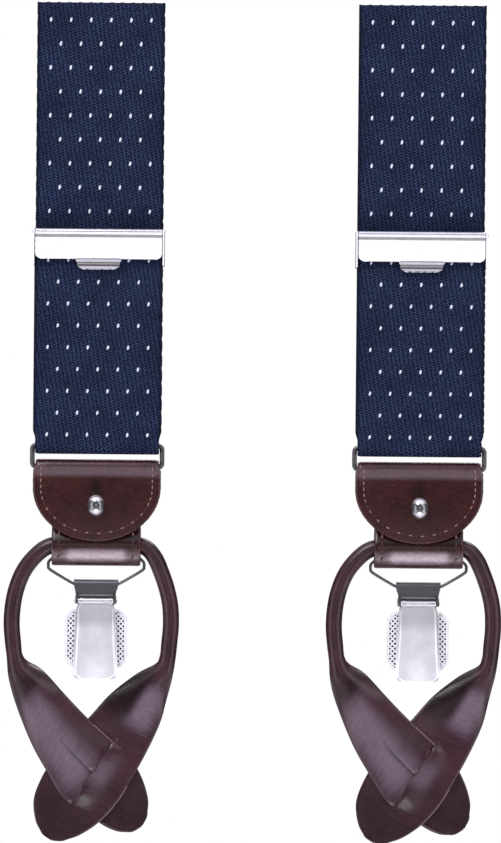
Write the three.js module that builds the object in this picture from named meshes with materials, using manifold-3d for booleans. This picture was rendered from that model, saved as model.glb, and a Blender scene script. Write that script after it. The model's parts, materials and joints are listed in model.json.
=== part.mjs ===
// Front straps of a pair of suspenders, hanging side by side: webbing, slide adjuster, wire ring,
// studded leather tab, rolled leather button loop and a clip on a wire bail, once for each side.
// Millimetres, +Z up the strap, +X right, the front faces -Y. z = 0 is the cut top end.
import * as THREE from 'three';
import { mergeVertices } from 'three/addons/utils/BufferGeometryUtils.js';
import Module from 'manifold-3d';

const wasm = await Module();
wasm.setup();

// ---- driving dimensions ----
const SIDES = { left: -1, right: 1 };
const STRAP_SPACING = 87.4;     // between the centre lines of the two straps
const GAP = 0.3;                // left between pieces that touch
const STRAP_WIDTH = 34.4;
const TAPE = 1.3;               // webbing thickness
const ADJUSTER_TOP = -61.6;     // z of the adjuster's top edge
const ADJUSTER_HEIGHT = 9.9;
const FRAME_WALL = 0.4;
const FRAME_CLEAR = 0.15;       // side wall to webbing
const FRAME_BAR = 1.8;          // height of the bars behind the strap
const FRAME_BAR_THICK = 0.7;
const ANCHOR_BAR = 1.2;         // height of the bar the front tape is sewn round
const CAM_LIP = 0.7;            // height of the lip that bites the tape
const PLATE_CORNER = 1.6;
const HINGE_R = 0.4;            // adjuster and clip hinge pins
const PIN_CLEAR = 0.12;
const KNUCKLE_R = 0.9;
const CAM_PLATE_WIDTH = 34.2;
const CAM_PLATE_HEIGHT = 7.3;   // hinge axis to the plate's lower edge
const CAM_PLATE = 0.7;
const LIFT_TAB_WIDTH = 12.4;
const LIFT_TAB_DROP = 2.7;
const RING_WIRE = 1.4;          // wire diameter
const RING_TOP_BAR = -120.2;    // z of the upper bar's centre
const RING_BAR_SPACING = 6;
const RING_CORNER = 1.6;
const FOLD_WIDTH = 33.2;        // tape and leather narrow to this inside the ring
const LEATHER = 1.2;            // tab and strip leather
const TAB_WIDTH = 34.4;
const TAB_DROP = 14.7;          // half-moon part's height
const TAB_STRAIGHT = 4.2;       // straight sides above the half-moon
const TAB_FLARE = 9;            // degrees each leaf leans away from the middle
const STUD_REACH = 9.1;         // flap's hinge line to the stud
const STUD_HEAD = 2.15;         // head half-width
const STUD_HEAD_TALL = 2.8;     // head half-height
const STUD_POST = 0.9;
const STUD_FLANGE = 3;
const STUD_COLLAR = 1.6;
const SLIT_ABOVE_STUD = 4;      // top of the flap's slit to the top of the stud hole's head
const SLIT_LENGTH = 3;
const SLIT_WIDTH = 0.5;
const STRIP_WIDTH = 23.8;
const STRIP_TOP = -139.8;
const STRIP_SEAM = 1.8;         // length of the flat sewn top
const CORD_R = 2.2;             // rolled leather cord
const CORD_Z = -147.2;          // cord's centre inside the strip
const BAIL_R = 0.4;
const BAIL_BELOW_CORD = 1.2;     // between the cord and the bail, inside the strip
const BAIL_DROP = 7;            // between the bail's two bars
const BAIL_NECK = 5.9;          // half-width where the bail meets the clip
const CLIP_WIDTH = 11;
const CLIP_STEEL = 0.7;
const EAR_FOOT = 0.7;           // ears below the clip's hinge axis
const CLIP_AXIS_DROP = 4.4;     // bail's lower bar to the clip's hinge pin
const COVER_TOP_WIDTH = 10.3;
const COVER_FOOT_WIDTH = 11.8;
const COVER_LENGTH = 20.7;      // hinge pin to the cover's foot
const COVER_CROWN = 0.9;
const COVER_PLATE = 0.8;
const COVER_CORNER = 1.3;
const GRIP_WIDTH = 16.6;
const GRIP_LENGTH = 15.6;
const GRIP_CHAMFER = 1.7;
const GRIP_PLATE = 0.8;
const JAW_WIDTH = 8.6;
const JAW_LENGTH = 17;
const PAD_HALF = 3.8;
const PAD_DROP = 9;             // hinge axis to the top of the jaw's pad
const SPRING_HALF = 1.8;
const SPRING_LENGTH = 5;
const SPRING_STEEL = 0.25;
const TAIL_LEATHER = 1.2;
const TAIL_LIFT = 1.9;          // depth each tail gives way to the other where they cross

// ---- values worked out from them ----
const foldInner = RING_WIRE / 2 + GAP;                       // inside radius of tape and leather folds
const tapeMid = foldInner + TAPE / 2;
const ringLowBar = RING_TOP_BAR - RING_BAR_SPACING;
const tapeFoldTop = RING_TOP_BAR + 3;
const frameInner = STRAP_WIDTH / 2 + FRAME_CLEAR;
const frameOuter = frameInner + FRAME_WALL;
const frameBottom = ADJUSTER_TOP - ADJUSTER_HEIGHT;
const camAxisY = -(foldInner + TAPE + 0.2 + KNUCKLE_R / 2);
const camAxisZ = ADJUSTER_TOP - KNUCKLE_R;
const frontTapeTop = ADJUSTER_TOP - 5;
const leatherOuter = foldInner + LEATHER;
const flapAxisY = -(leatherOuter + GAP / 2);
const flapAxisZ = ringLowBar - LEATHER;
const stripInner = CORD_R + GAP;
const stripOuter = stripInner + LEATHER;
const bailTop = CORD_Z - CORD_R - BAIL_BELOW_CORD - BAIL_R;
const stripFoot = bailTop - BAIL_R - GAP;                    // inside of the strip's bottom fold
const bailHalf = STRIP_WIDTH / 2 + GAP + 2 * BAIL_R;
const bailLow = bailTop - BAIL_DROP;
const clipAxisY = -1.5;
const clipAxisZ = bailLow - CLIP_AXIS_DROP;
const gripFront = 0.6;
const gripTop = clipAxisZ - 2.5;

// ---- finishes ----
const finish = (colour, roughness, metalness) => ({ color: colour, roughness, metalness });
const WEBBING = finish(0x1b2552, 0.9, 0);
const TAB_LEATHER = finish(0x3a191b, 0.45, 0);
const ROLLED_LEATHER = finish(0x3b2430, 0.5, 0);
const NICKEL = finish(0xdadce2, 0.2, 1);
const DARK_STEEL = finish(0x55565c, 0.35, 1);
const WIRE = finish(0x6a6c70, 0.3, 1);
const RUBBER = finish(0x202020, 0.9, 0);

// ---- shape helpers ----
/** A flat outline in X and depth below z = 0, given thickness along Y from yFront to yBack. */
function slab(shape, yFront, yBack, segments = 12) {
  const depth = yBack - yFront;
  const body = new THREE.ExtrudeGeometry(shape, { depth, bevelEnabled: false, curveSegments: segments });
  return body.rotateX(-Math.PI / 2).translate(0, yFront, 0);
}

/** A profile in Y and Z carried across the strap, from -halfWidth to +halfWidth. */
function across(shape, halfWidth, segments = 12) {
  const options = { depth: 2 * halfWidth, bevelEnabled: false, curveSegments: segments };
  const body = new THREE.ExtrudeGeometry(shape, options);
  body.applyMatrix4(new THREE.Matrix4().set(0, 0, 1, -halfWidth, 1, 0, 0, 0, 0, 1, 0, 0, 0, 0, 0, 1));
  return body;
}

/** An outline through plain [a, b] corners. */
function outline(points) {
  return new THREE.Shape(points.map(([a, b]) => new THREE.Vector2(a, b)));
}

/** A box given by its lowest and highest corners. */
function box(low, high) {
  const size = high.map((value, i) => value - low[i]);
  const middle = high.map((value, i) => (value + low[i]) / 2);
  return new THREE.BoxGeometry(...size).translate(...middle);
}

/** A round bar along X. */
function barX(radius, halfLength, y, z, sides = 16) {
  const bar = new THREE.CylinderGeometry(radius, radius, 2 * halfLength, sides);
  return bar.rotateZ(Math.PI / 2).translate(0, y, z);
}

/** A round wire along a smooth path through the points, with twice halfSides flats round it. */
function wire(points, radius, halfSides, steps) {
  const vectors = points.map((p) => new THREE.Vector3(...p));
  const path = new THREE.CatmullRomCurve3(vectors, false, 'catmullrom');
  const section = new THREE.Shape().absarc(0, 0, radius, 0, 2 * Math.PI, false);
  const options = { steps, extrudePath: path, curveSegments: halfSides, bevelEnabled: false };
  return new THREE.ExtrudeGeometry(section, options);
}

/** A thick sheet: point(u, v) gives its middle surface, and open(i, j) leaves a cell out. */
function sheet(columns, rows, point, thickness, open = () => false) {
  const positions = [];
  const index = [];
  const at = (i, j, side) => 2 * (i * (rows + 1) + j) + side;
  const quad = (a, b, c, d) => index.push(a, b, c, a, c, d);
  const there = (i, j) => i >= 0 && j >= 0 && i < columns && j < rows && !open(i, j);
  for (let i = 0; i <= columns; i += 1) {
    for (let j = 0; j <= rows; j += 1) {
      const [x, y, z] = point(i / columns, j / rows);
      positions.push(x, y - thickness / 2, z, x, y + thickness / 2, z);
    }
  }
  for (let i = 0; i < columns; i += 1) {
    for (let j = 0; j < rows; j += 1) {
      if (!there(i, j)) continue;
      quad(at(i, j, 0), at(i + 1, j, 0), at(i + 1, j + 1, 0), at(i, j + 1, 0));
      quad(at(i, j, 1), at(i, j + 1, 1), at(i + 1, j + 1, 1), at(i + 1, j, 1));
      if (!there(i - 1, j)) quad(at(i, j, 0), at(i, j + 1, 0), at(i, j + 1, 1), at(i, j, 1));
      if (!there(i + 1, j)) quad(at(i + 1, j, 1), at(i + 1, j + 1, 1), at(i + 1, j + 1, 0), at(i + 1, j, 0));
      if (!there(i, j - 1)) quad(at(i, j, 1), at(i + 1, j, 1), at(i + 1, j, 0), at(i, j, 0));
      if (!there(i, j + 1)) quad(at(i, j + 1, 0), at(i + 1, j + 1, 0), at(i + 1, j + 1, 1), at(i, j + 1, 1));
    }
  }
  const body = new THREE.BufferGeometry();
  body.setAttribute('position', new THREE.Float32BufferAttribute(positions, 3));
  body.setIndex(index);
  return faceOutward(body);
}

/** Turns a closed mesh the right way round when its signed volume is negative. */
function faceOutward(body) {
  const p = body.getAttribute('position');
  const order = body.getIndex().array;
  const [a, b, c] = [new THREE.Vector3(), new THREE.Vector3(), new THREE.Vector3()];
  let volume = 0;
  for (let k = 0; k < order.length; k += 3) {
    a.fromBufferAttribute(p, order[k]);
    b.fromBufferAttribute(p, order[k + 1]);
    c.fromBufferAttribute(p, order[k + 2]);
    volume += a.dot(b.cross(c));
  }
  if (volume < 0) {
    for (let k = 0; k < order.length; k += 3) [order[k], order[k + 1]] = [order[k + 1], order[k]];
  }
  return body;
}

/** A mesh as a solid for joins and cuts. */
function solid(geometry) {
  const plain = geometry.clone();
  plain.deleteAttribute('normal');
  plain.deleteAttribute('uv');
  const merged = mergeVertices(plain, 1e-4);
  return new wasm.Manifold(new wasm.Mesh({
    numProp: 3,
    vertProperties: new Float32Array(merged.getAttribute('position').array),
    triVerts: new Uint32Array(merged.getIndex().array),
  }));
}

/** The solids joined, less the cuts, as a geometry again. */
function join(parts, cuts = []) {
  let result = solid(parts[0]);
  for (const part of parts.slice(1)) result = result.add(solid(part));
  for (const cut of cuts) result = result.subtract(solid(cut));
  const mesh = result.getMesh();
  const body = new THREE.BufferGeometry();
  body.setAttribute('position', new THREE.Float32BufferAttribute(mesh.vertProperties, 3));
  body.setIndex([...mesh.triVerts]);
  return body;
}

// ---- webbing ----
/** A flat run of webbing from zTop to zBottom, on the rear (+1) or front (-1) side. */
function tapeRun(side, zTop, zBottom, narrowFoot) {
  const half = STRAP_WIDTH / 2;
  const foot = narrowFoot ? FOLD_WIDTH / 2 : half;
  const shoulder = -zBottom - 3;
  const shape = outline([
    [-half, -zTop], [half, -zTop], [half, shoulder], [foot, -zBottom], [-foot, -zBottom], [-half, shoulder],
  ]);
  const near = side * tapeMid - TAPE / 2;
  return slab(shape, near, near + TAPE);
}

/** The turn of the tape under the ring's upper bar. */
function tapeFold() {
  const outer = foldInner + TAPE;
  const shape = new THREE.Shape();
  shape.moveTo(outer, tapeFoldTop);
  shape.lineTo(outer, RING_TOP_BAR);
  shape.absarc(0, RING_TOP_BAR, outer, 0, Math.PI, true);
  shape.lineTo(-outer, tapeFoldTop);
  shape.lineTo(-foldInner, tapeFoldTop);
  shape.lineTo(-foldInner, RING_TOP_BAR);
  shape.absarc(0, RING_TOP_BAR, foldInner, Math.PI, 2 * Math.PI, false);
  shape.lineTo(foldInner, tapeFoldTop);
  return across(shape, FOLD_WIDTH / 2);
}

// ---- adjuster ----
/** Side walls, two bars behind the strap and the bar that the front tape is sewn round. */
function adjusterFrame() {
  const back = foldInner + TAPE + GAP;
  const barRows = [[ADJUSTER_TOP - FRAME_BAR, ADJUSTER_TOP], [frameBottom, frameBottom + FRAME_BAR]];
  const walls = [-1, 1].map((s) => {
    const [a, b] = [s * frameInner, s * frameOuter].sort((p, q) => p - q);
    return box([a, camAxisY - FRAME_BAR_THICK, frameBottom], [b, back + FRAME_BAR_THICK, ADJUSTER_TOP]);
  });
  const bars = barRows.map(([low, high]) =>
    box([-frameOuter, back, low], [frameOuter, back + FRAME_BAR_THICK, high]));
  const anchorTop = frontTapeTop - 0.6;
  const anchor = box([-frameOuter, GAP - foldInner, anchorTop - ANCHOR_BAR], [frameOuter, 0.1, anchorTop]);
  const hole = barX(HINGE_R + PIN_CLEAR, frameOuter + 1, camAxisY, camAxisZ);
  return join([...walls, ...bars, anchor], [hole]);
}

/** Knuckle, toothed lip and front plate with its lift tab, in one pressing. */
function adjusterCam() {
  const half = CAM_PLATE_WIDTH / 2;
  const tab = LIFT_TAB_WIDTH / 2;
  const bottom = camAxisZ - CAM_PLATE_HEIGHT;
  const right = [
    [half, -camAxisZ], [half, -bottom - PLATE_CORNER], [half - 0.5, -bottom - 0.5], [half - PLATE_CORNER, -bottom],
    [tab + 0.5, -bottom], [tab, -bottom + 0.6], [tab - 0.6, -bottom + LIFT_TAB_DROP - 0.6],
    [tab - 1.5, -bottom + LIFT_TAB_DROP],
  ];
  const left = right.map(([x, down]) => [-x, down]).reverse();
  const shape = outline([...right, ...left]);
  const front = camAxisY - KNUCKLE_R;
  const plate = slab(shape, front, front + CAM_PLATE);
  const knuckle = barX(KNUCKLE_R, half, camAxisY, camAxisZ);
  const lip = box(
    [1 - half, camAxisY, camAxisZ - CAM_LIP / 2],
    [half - 1, foldInner - GAP, camAxisZ + CAM_LIP / 2],
  );
  return join([plate, knuckle, lip], [barX(HINGE_R + PIN_CLEAR, half + 1, camAxisY, camAxisZ)]);
}

// ---- ring ----
/** A round-cornered oblong of wire: a torus whose quarters are moved apart. */
function ring() {
  const halfX = FOLD_WIDTH / 2 + GAP + RING_WIRE / 2;
  const quarters = 16;
  const body = new THREE.TorusGeometry(RING_CORNER, RING_WIRE / 2, 10, quarters);
  body.rotateZ(Math.PI / quarters).rotateX(Math.PI / 2);
  const p = body.getAttribute('position');
  for (let i = 0; i < p.count; i += 1) {
    const x = p.getX(i) + Math.sign(p.getX(i)) * (halfX - RING_CORNER);
    const z = p.getZ(i) + Math.sign(p.getZ(i)) * (RING_BAR_SPACING / 2 - RING_CORNER);
    p.setXYZ(i, x, p.getY(i), z);
  }
  return body.translate(0, 0, RING_TOP_BAR - RING_BAR_SPACING / 2);
}

// ---- studded tab ----
/** Straight sides above a half-ellipse, measured down from the leaf's own top line. */
function halfMoon(top) {
  const half = TAB_WIDTH / 2;
  const shape = new THREE.Shape();
  shape.moveTo(-half, -top);
  shape.lineTo(half, -top);
  shape.lineTo(half, TAB_STRAIGHT);
  shape.absellipse(0, TAB_STRAIGHT, half, TAB_DROP, 0, Math.PI, false, 0);
  return shape;
}

/** The front leaf, with the stud hole and the slit above it that lets the head through. */
function tabFlap() {
  const shape = halfMoon(-GAP / 2);
  const hole = new THREE.Path();
  hole.absellipse(0, STUD_REACH, STUD_HEAD + 0.5, STUD_HEAD_TALL + 0.55, 0, 2 * Math.PI, true, 0);
  const slitTop = STUD_REACH - STUD_HEAD_TALL - SLIT_ABOVE_STUD;
  const slitFoot = slitTop + SLIT_LENGTH;
  const slitHalf = SLIT_WIDTH / 2;
  const slit = new THREE.Path(outline([
    [-slitHalf, slitTop], [-slitHalf, slitFoot], [slitHalf, slitFoot], [slitHalf, slitTop],
  ]).getPoints());
  shape.holes.push(hole, slit);
  const leaf = slab(shape, GAP / 2, GAP / 2 + LEATHER, 16);
  return leaf.rotateX(THREE.MathUtils.degToRad(-TAB_FLARE)).translate(0, flapAxisY, flapAxisZ);
}

/** The back leaf and the fold over the ring's lower bar, as far as the flap's bend line. */
function tabBack() {
  const fold = new THREE.Shape();
  fold.moveTo(leatherOuter, flapAxisZ - 0.5);
  fold.lineTo(leatherOuter, ringLowBar);
  fold.absarc(0, ringLowBar, leatherOuter, 0, Math.PI, false);
  fold.lineTo(-leatherOuter, flapAxisZ + GAP / 2);
  fold.lineTo(-foldInner, flapAxisZ + GAP / 2);
  fold.lineTo(-foldInner, ringLowBar);
  fold.absarc(0, ringLowBar, foldInner, Math.PI, 0, true);
  fold.lineTo(foldInner, flapAxisZ - 0.5);
  const shape = halfMoon(0);
  const hole = new THREE.Path();
  hole.absarc(0, STUD_REACH, STUD_POST + GAP, 0, 2 * Math.PI, true);
  shape.holes.push(hole);
  const leaf = slab(shape, 0, LEATHER, 16);
  leaf.rotateX(THREE.MathUtils.degToRad(TAB_FLARE)).translate(0, foldInner, flapAxisZ);
  return join([across(fold, FOLD_WIDTH / 2), leaf]);
}

const flare = THREE.MathUtils.degToRad(TAB_FLARE);
const studZ = flapAxisZ - STUD_REACH * Math.cos(flare);
const studHeadY = flapAxisY - STUD_REACH * Math.sin(flare) - 1.2;
const backLeafY = foldInner + STUD_REACH * Math.sin(flare);

/** A lathe turned so that its axis runs along Y: profile points are [radius, y]. */
function turnedY(profile, sides) {
  const points = profile.map(([r, y]) => new THREE.Vector2(r, y));
  return new THREE.LatheGeometry(points, sides);
}

/** Oval head, neck, collar and post in one turned piece. */
function stud() {
  const head = [];
  const steps = 8;
  for (let i = 0; i <= steps; i += 1) {
    const angle = Math.PI * (i / steps) * 0.86;
    head.push([STUD_HEAD * Math.sin(angle), -STUD_HEAD * Math.cos(angle)]);
  }
  const collar = backLeafY - GAP - 0.5 - studHeadY;
  const end = backLeafY + LEATHER - studHeadY;
  const profile = [
    ...head, [STUD_POST, collar - 0.4], [STUD_COLLAR, collar - 0.3], [STUD_COLLAR, collar + 0.1],
    [STUD_POST, collar + 0.2], [STUD_POST, end], [0, end],
  ];
  const body = turnedY(profile, 14);
  const p = body.getAttribute('position');
  const tall = STUD_HEAD_TALL / STUD_HEAD;
  for (let i = 0; i < p.count; i += 1) {
    if (p.getY(i) < STUD_HEAD) p.setZ(i, p.getZ(i) * tall);
  }
  return body.translate(0, studHeadY, studZ);
}

/** The screw flange behind the back leaf, with its driver slot. */
function studBase() {
  const disc = turnedY([[0, 0], [STUD_FLANGE, 0], [STUD_FLANGE, 0.5], [STUD_FLANGE - 0.5, 0.9], [0, 0.9]], 24);
  const body = join([disc], [box([-STUD_FLANGE - 1, 0.5, -0.35], [STUD_FLANGE + 1, 1.5, 0.35])]);
  return body.rotateX(flare).translate(0, backLeafY + LEATHER / Math.cos(flare) + GAP, studZ);
}

/** The narrow strip: two leaves sewn at the top, parted round the cord and the bail's bar. */
function hangerStrip() {
  const stem = 0.8;
  const foot = stripFoot - LEATHER;
  const shape = new THREE.Shape();
  shape.moveTo(stem, STRIP_TOP);
  shape.lineTo(stem, STRIP_TOP - STRIP_SEAM);
  shape.bezierCurveTo(stem, STRIP_TOP - 4.2, stripOuter, CORD_Z + 2.6, stripOuter, CORD_Z);
  shape.bezierCurveTo(stripOuter, CORD_Z - 3, 2.4, foot, 0, foot);
  shape.bezierCurveTo(-2.4, foot, -stripOuter, CORD_Z - 3, -stripOuter, CORD_Z);
  shape.bezierCurveTo(-stripOuter, CORD_Z + 2.6, -stem, STRIP_TOP - 4.2, -stem, STRIP_TOP - STRIP_SEAM);
  shape.lineTo(-stem, STRIP_TOP);
  const tunnel = new THREE.Path();
  tunnel.moveTo(0, CORD_Z + stripInner + 0.5);
  tunnel.bezierCurveTo(-1.6, CORD_Z + stripInner + 0.2, -stripInner, CORD_Z + 1.4, -stripInner, CORD_Z);
  tunnel.bezierCurveTo(-stripInner, CORD_Z - 2.4, -1.5, stripFoot, 0, stripFoot);
  tunnel.bezierCurveTo(1.5, stripFoot, stripInner, CORD_Z - 2.4, stripInner, CORD_Z);
  tunnel.bezierCurveTo(stripInner, CORD_Z + 1.4, 1.6, CORD_Z + stripInner + 0.2, 0, CORD_Z + stripInner + 0.5);
  shape.holes.push(tunnel);
  return across(shape, STRIP_WIDTH / 2, 8);
}

// ---- rolled leather button loop ----
// The cord's route, from its left end up through the strip and down to its right end: [x, z].
const CORD_ROUTE = [
  [-21.9, -178.4], [-22.4, -173.8], [-22.8, -168.9], [-22.5, -163.8], [-21.5, -159], [-19.6, -154.4],
  [-16.8, -150.7], [-13.6, -148.1], [-10, CORD_Z], [0, CORD_Z], [10, CORD_Z], [13.4, -147.9],
  [15.8, -150.5], [17.6, -154.4], [19.2, -159], [20.2, -163.8], [20.4, -168.9], [20, -173.8], [19.5, -178.4],
];
// Matching points down the outer and inner edge of each flat tail: [outer x, z, inner x, z].
const TAIL_A = [
  [-23.8, -179.6, -19.8, -178.9], [-20.9, -190.5, -14.2, -182.2], [-16.3, -201.5, -8.5, -187.8],
  [-10.6, -210.8, -1.8, -194.4], [-5.2, -213.9, 5.3, -200.8], [-0.8, -217.8, 9.8, -205.2],
  [3.8, -222.6, 13.6, -211.4], [9.3, -225.2, 14.9, -218.3], [12.3, -223.8, 14, -221.8],
];
const TAIL_B = [
  [21.4, -179.6, 17.4, -178.9], [18.6, -187, 11, -182.7], [17.3, -195.2, 4.2, -187.9],
  [13.7, -202.8, -1.5, -194.1], [10, -209.9, -7.5, -201.3], [5.4, -216.7, -13, -207.6],
  [0.8, -222.6, -15.9, -214.5], [-4.4, -226.2, -16, -220.8], [-9.6, -227.3, -13.4, -225.4],
];
// Tail B's slit, held open by tail A: its middle line, top and bottom, and half its width.
const SLOT_TOP = [4.75, -197.65];
const SLOT_FOOT = [-7.8, -215.7];
const SLOT_HALF = 1.7;

function loopCord() {
  return wire(CORD_ROUTE.map(([x, z]) => [x, 0, z]), CORD_R, 5, 34);
}

/** How far tail A stands behind (+) or in front (-) of tail B at a place. */
function tailLift(x, z, along) {
  const [dx, dz] = [SLOT_TOP[0] - SLOT_FOOT[0], SLOT_TOP[1] - SLOT_FOOT[1]];
  const past = ((x - SLOT_TOP[0]) * dz - (z - SLOT_TOP[1]) * dx) / Math.hypot(dx, dz);
  const side = THREE.MathUtils.clamp(past / SLOT_HALF, -1, 1);
  return TAIL_LIFT * side * THREE.MathUtils.smoothstep(along, 0.05, 0.22);
}

/** A flat tail between its two edges; the slit is left out of the sheet. */
function tail(edges, lift, stops, slitRows, slitFrom, slitTo, columns = 24) {
  const curve = (i) => new THREE.CatmullRomCurve3(edges.map((e) => new THREE.Vector3(e[i], 0, e[i + 1])));
  const [outer, inner] = [curve(0), curve(2)];
  const rows = stops.length - 1;
  const point = (u, v) => {
    const p = outer.getPoint(u).lerp(inner.getPoint(u), stops[Math.round(v * rows)]);
    return [p.x, lift ? tailLift(p.x, p.z, u) : 0, p.z];
  };
  const open = (i, j) => slitRows.includes(j) && i >= slitFrom * columns && i < slitTo * columns;
  return sheet(columns, rows, point, TAIL_LEATHER, open);
}

// ---- bail and clip ----
/** One bent wire: its ends meet inside the strip. */
function bail() {
  const half = bailHalf;
  const right = [
    [GAP / 2, bailTop], [half - 3, bailTop], [half - 1, bailTop - 0.1], [half - 0.1, bailTop - 0.9],
    [half, bailTop - 2], [half - 0.6, bailTop - 3.1], [BAIL_NECK + 1.6, bailLow + 0.9],
    [BAIL_NECK, bailLow + 0.1], [BAIL_NECK - 1, bailLow],
  ];
  const left = right.map(([x, z]) => [-x, z]).reverse();
  return wire([...right, ...left].map(([x, z]) => [x, 0, z]), BAIL_R, 3, 46);
}

/** Rolled top, cranked spine and the ears that hold the hinge pin. */
function clipBody() {
  const half = CLIP_WIDTH / 2;
  const eye = BAIL_R + GAP;
  const roll = new THREE.Shape().absarc(0, bailLow, eye + CLIP_STEEL, 0, 2 * Math.PI, false);
  roll.holes.push(new THREE.Path().absarc(0, bailLow, eye, 0, 2 * Math.PI, true));
  const face = -(eye + CLIP_STEEL);
  const spine = gripFront + GRIP_PLATE + GAP;
  const axis = clipAxisZ;
  const plate = outline([
    [face, bailLow], [face, axis + 1.5], [-0.45, axis + 0.4], [-0.2, axis - 1], [spine, axis - 2.8],
    [spine, axis - 14.6], [spine + CLIP_STEEL, axis - 14.6], [spine + CLIP_STEEL, axis - 2.5],
    [0.55, axis - 0.7], [0.3, axis + 0.7], [-eye, axis + 1.9], [-eye, bailLow],
  ]);
  const ears = [-1, 1].map((s) => {
    const [a, b] = [s * (half - CLIP_STEEL), s * half].sort((p, q) => p - q);
    return box([a, clipAxisY - 0.7, axis - EAR_FOOT], [b, 0.1, axis + 1.5]);
  });
  const lip = box([-1.4, -0.9, bailLow + eye + 0.3], [1.4, -0.1, bailLow + 2]);
  const pinHole = barX(HINGE_R + PIN_CLEAR, half + 1, clipAxisY, axis);
  return join([across(roll, half), across(plate, half), ...ears, lip], [pinHole]);
}

/** The long crowned front plate and the knuckle it turns on. */
function clipCover() {
  const corner = COVER_CORNER;
  const top = EAR_FOOT + GAP;
  const front = clipAxisY - KNUCKLE_R;
  const point = (u, v) => {
    const down = top + (COVER_LENGTH - top) * (1 - (1 - v) ** 1.6);
    const full = THREE.MathUtils.lerp(COVER_TOP_WIDTH, COVER_FOOT_WIDTH, down / COVER_LENGTH) / 2;
    const past = Math.max(0, down - COVER_LENGTH + corner);
    const half = full - (corner - Math.sqrt(Math.max(0, corner ** 2 - past ** 2)));
    const x = (2 * u - 1) * half;
    const crown = COVER_CROWN * (1 - (x / full) ** 2) * Math.sin(Math.PI * Math.min(1, down / COVER_LENGTH));
    return [x, front + 0.4 - crown, clipAxisZ - down];
  };
  const plate = sheet(6, 10, point, COVER_PLATE);
  const half = JAW_WIDTH / 2 - 1.1;
  const knuckle = barX(KNUCKLE_R, half, clipAxisY, clipAxisZ);
  const neck = box([-half, front + 0.1, clipAxisZ - top - 0.4], [half, front + 0.7, clipAxisZ]);
  return join([plate, knuckle, neck], [barX(HINGE_R + PIN_CLEAR, CLIP_WIDTH, clipAxisY, clipAxisZ)]);
}

/** The inner jaw: a plate on two eyes that sit either side of the cover's knuckle. */
function clipJaw() {
  const half = JAW_WIDTH / 2;
  const axis = clipAxisZ;
  const shape = outline([
    [-half, -axis + 0.3], [-half, -axis + JAW_LENGTH], [half, -axis + JAW_LENGTH], [half, -axis + 0.3],
    [half - 0.8, -axis + 0.3], [half - 0.8, -axis + 1.4], [0.8 - half, -axis + 1.4], [0.8 - half, -axis + 0.3],
  ]);
  const plate = slab(shape, clipAxisY + 0.25, clipAxisY + KNUCKLE_R);
  const eyes = [-1, 1].map((s) => barX(KNUCKLE_R, 0.4, clipAxisY, axis).translate(s * (half - 0.4), 0, 0));
  return join([plate, ...eyes], [barX(HINGE_R + PIN_CLEAR, CLIP_WIDTH, clipAxisY, axis)]);
}

/** The wide rear jaw with clipped corners. */
function gripPlate() {
  const half = GRIP_WIDTH / 2;
  const [top, foot] = [-gripTop, -gripTop + GRIP_LENGTH];
  const shape = outline([
    [-half, top + GRIP_CHAMFER], [GRIP_CHAMFER - half, top],
    [half - GRIP_CHAMFER, top], [half, top + GRIP_CHAMFER],
    [half, foot - GRIP_CHAMFER], [half - GRIP_CHAMFER, foot],
    [GRIP_CHAMFER - half, foot], [-half, foot - GRIP_CHAMFER],
  ]);
  return slab(shape, gripFront, gripFront + GRIP_PLATE);
}

/** A bowed leaf spring between the spine and the inner jaw. */
function clipSpring() {
  const point = (u, v) => {
    const bow = 0.3 * Math.sin(Math.PI * v) - 0.15;
    return [(2 * u - 1) * SPRING_HALF, bow, clipAxisZ - 3 - SPRING_LENGTH * v];
  };
  return sheet(2, 6, point, SPRING_STEEL);
}

/** A block of rubber between the two jaws. */
function jawPad() {
  const foot = clipAxisZ - JAW_LENGTH + 0.4;
  const front = clipAxisY + KNUCKLE_R + GAP;
  return box([-PAD_HALF, front, foot], [PAD_HALF, gripFront - GAP - 0.05, clipAxisZ - PAD_DROP]);
}

// ---- assembly ----
const model = new THREE.Group();

/** Adds one named piece with its own material. */
function add(group, name, geometry, look) {
  const mesh = new THREE.Mesh(geometry, new THREE.MeshStandardMaterial(look));
  mesh.name = name;
  group.add(mesh);
}

const plainStops = [0, 0.16, 0.33, 0.485, 0.505, 0.67, 0.84, 1];
const slotStops = [0, 0.16, 0.31, 0.47, 0.59, 0.71, 0.86, 1];

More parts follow.
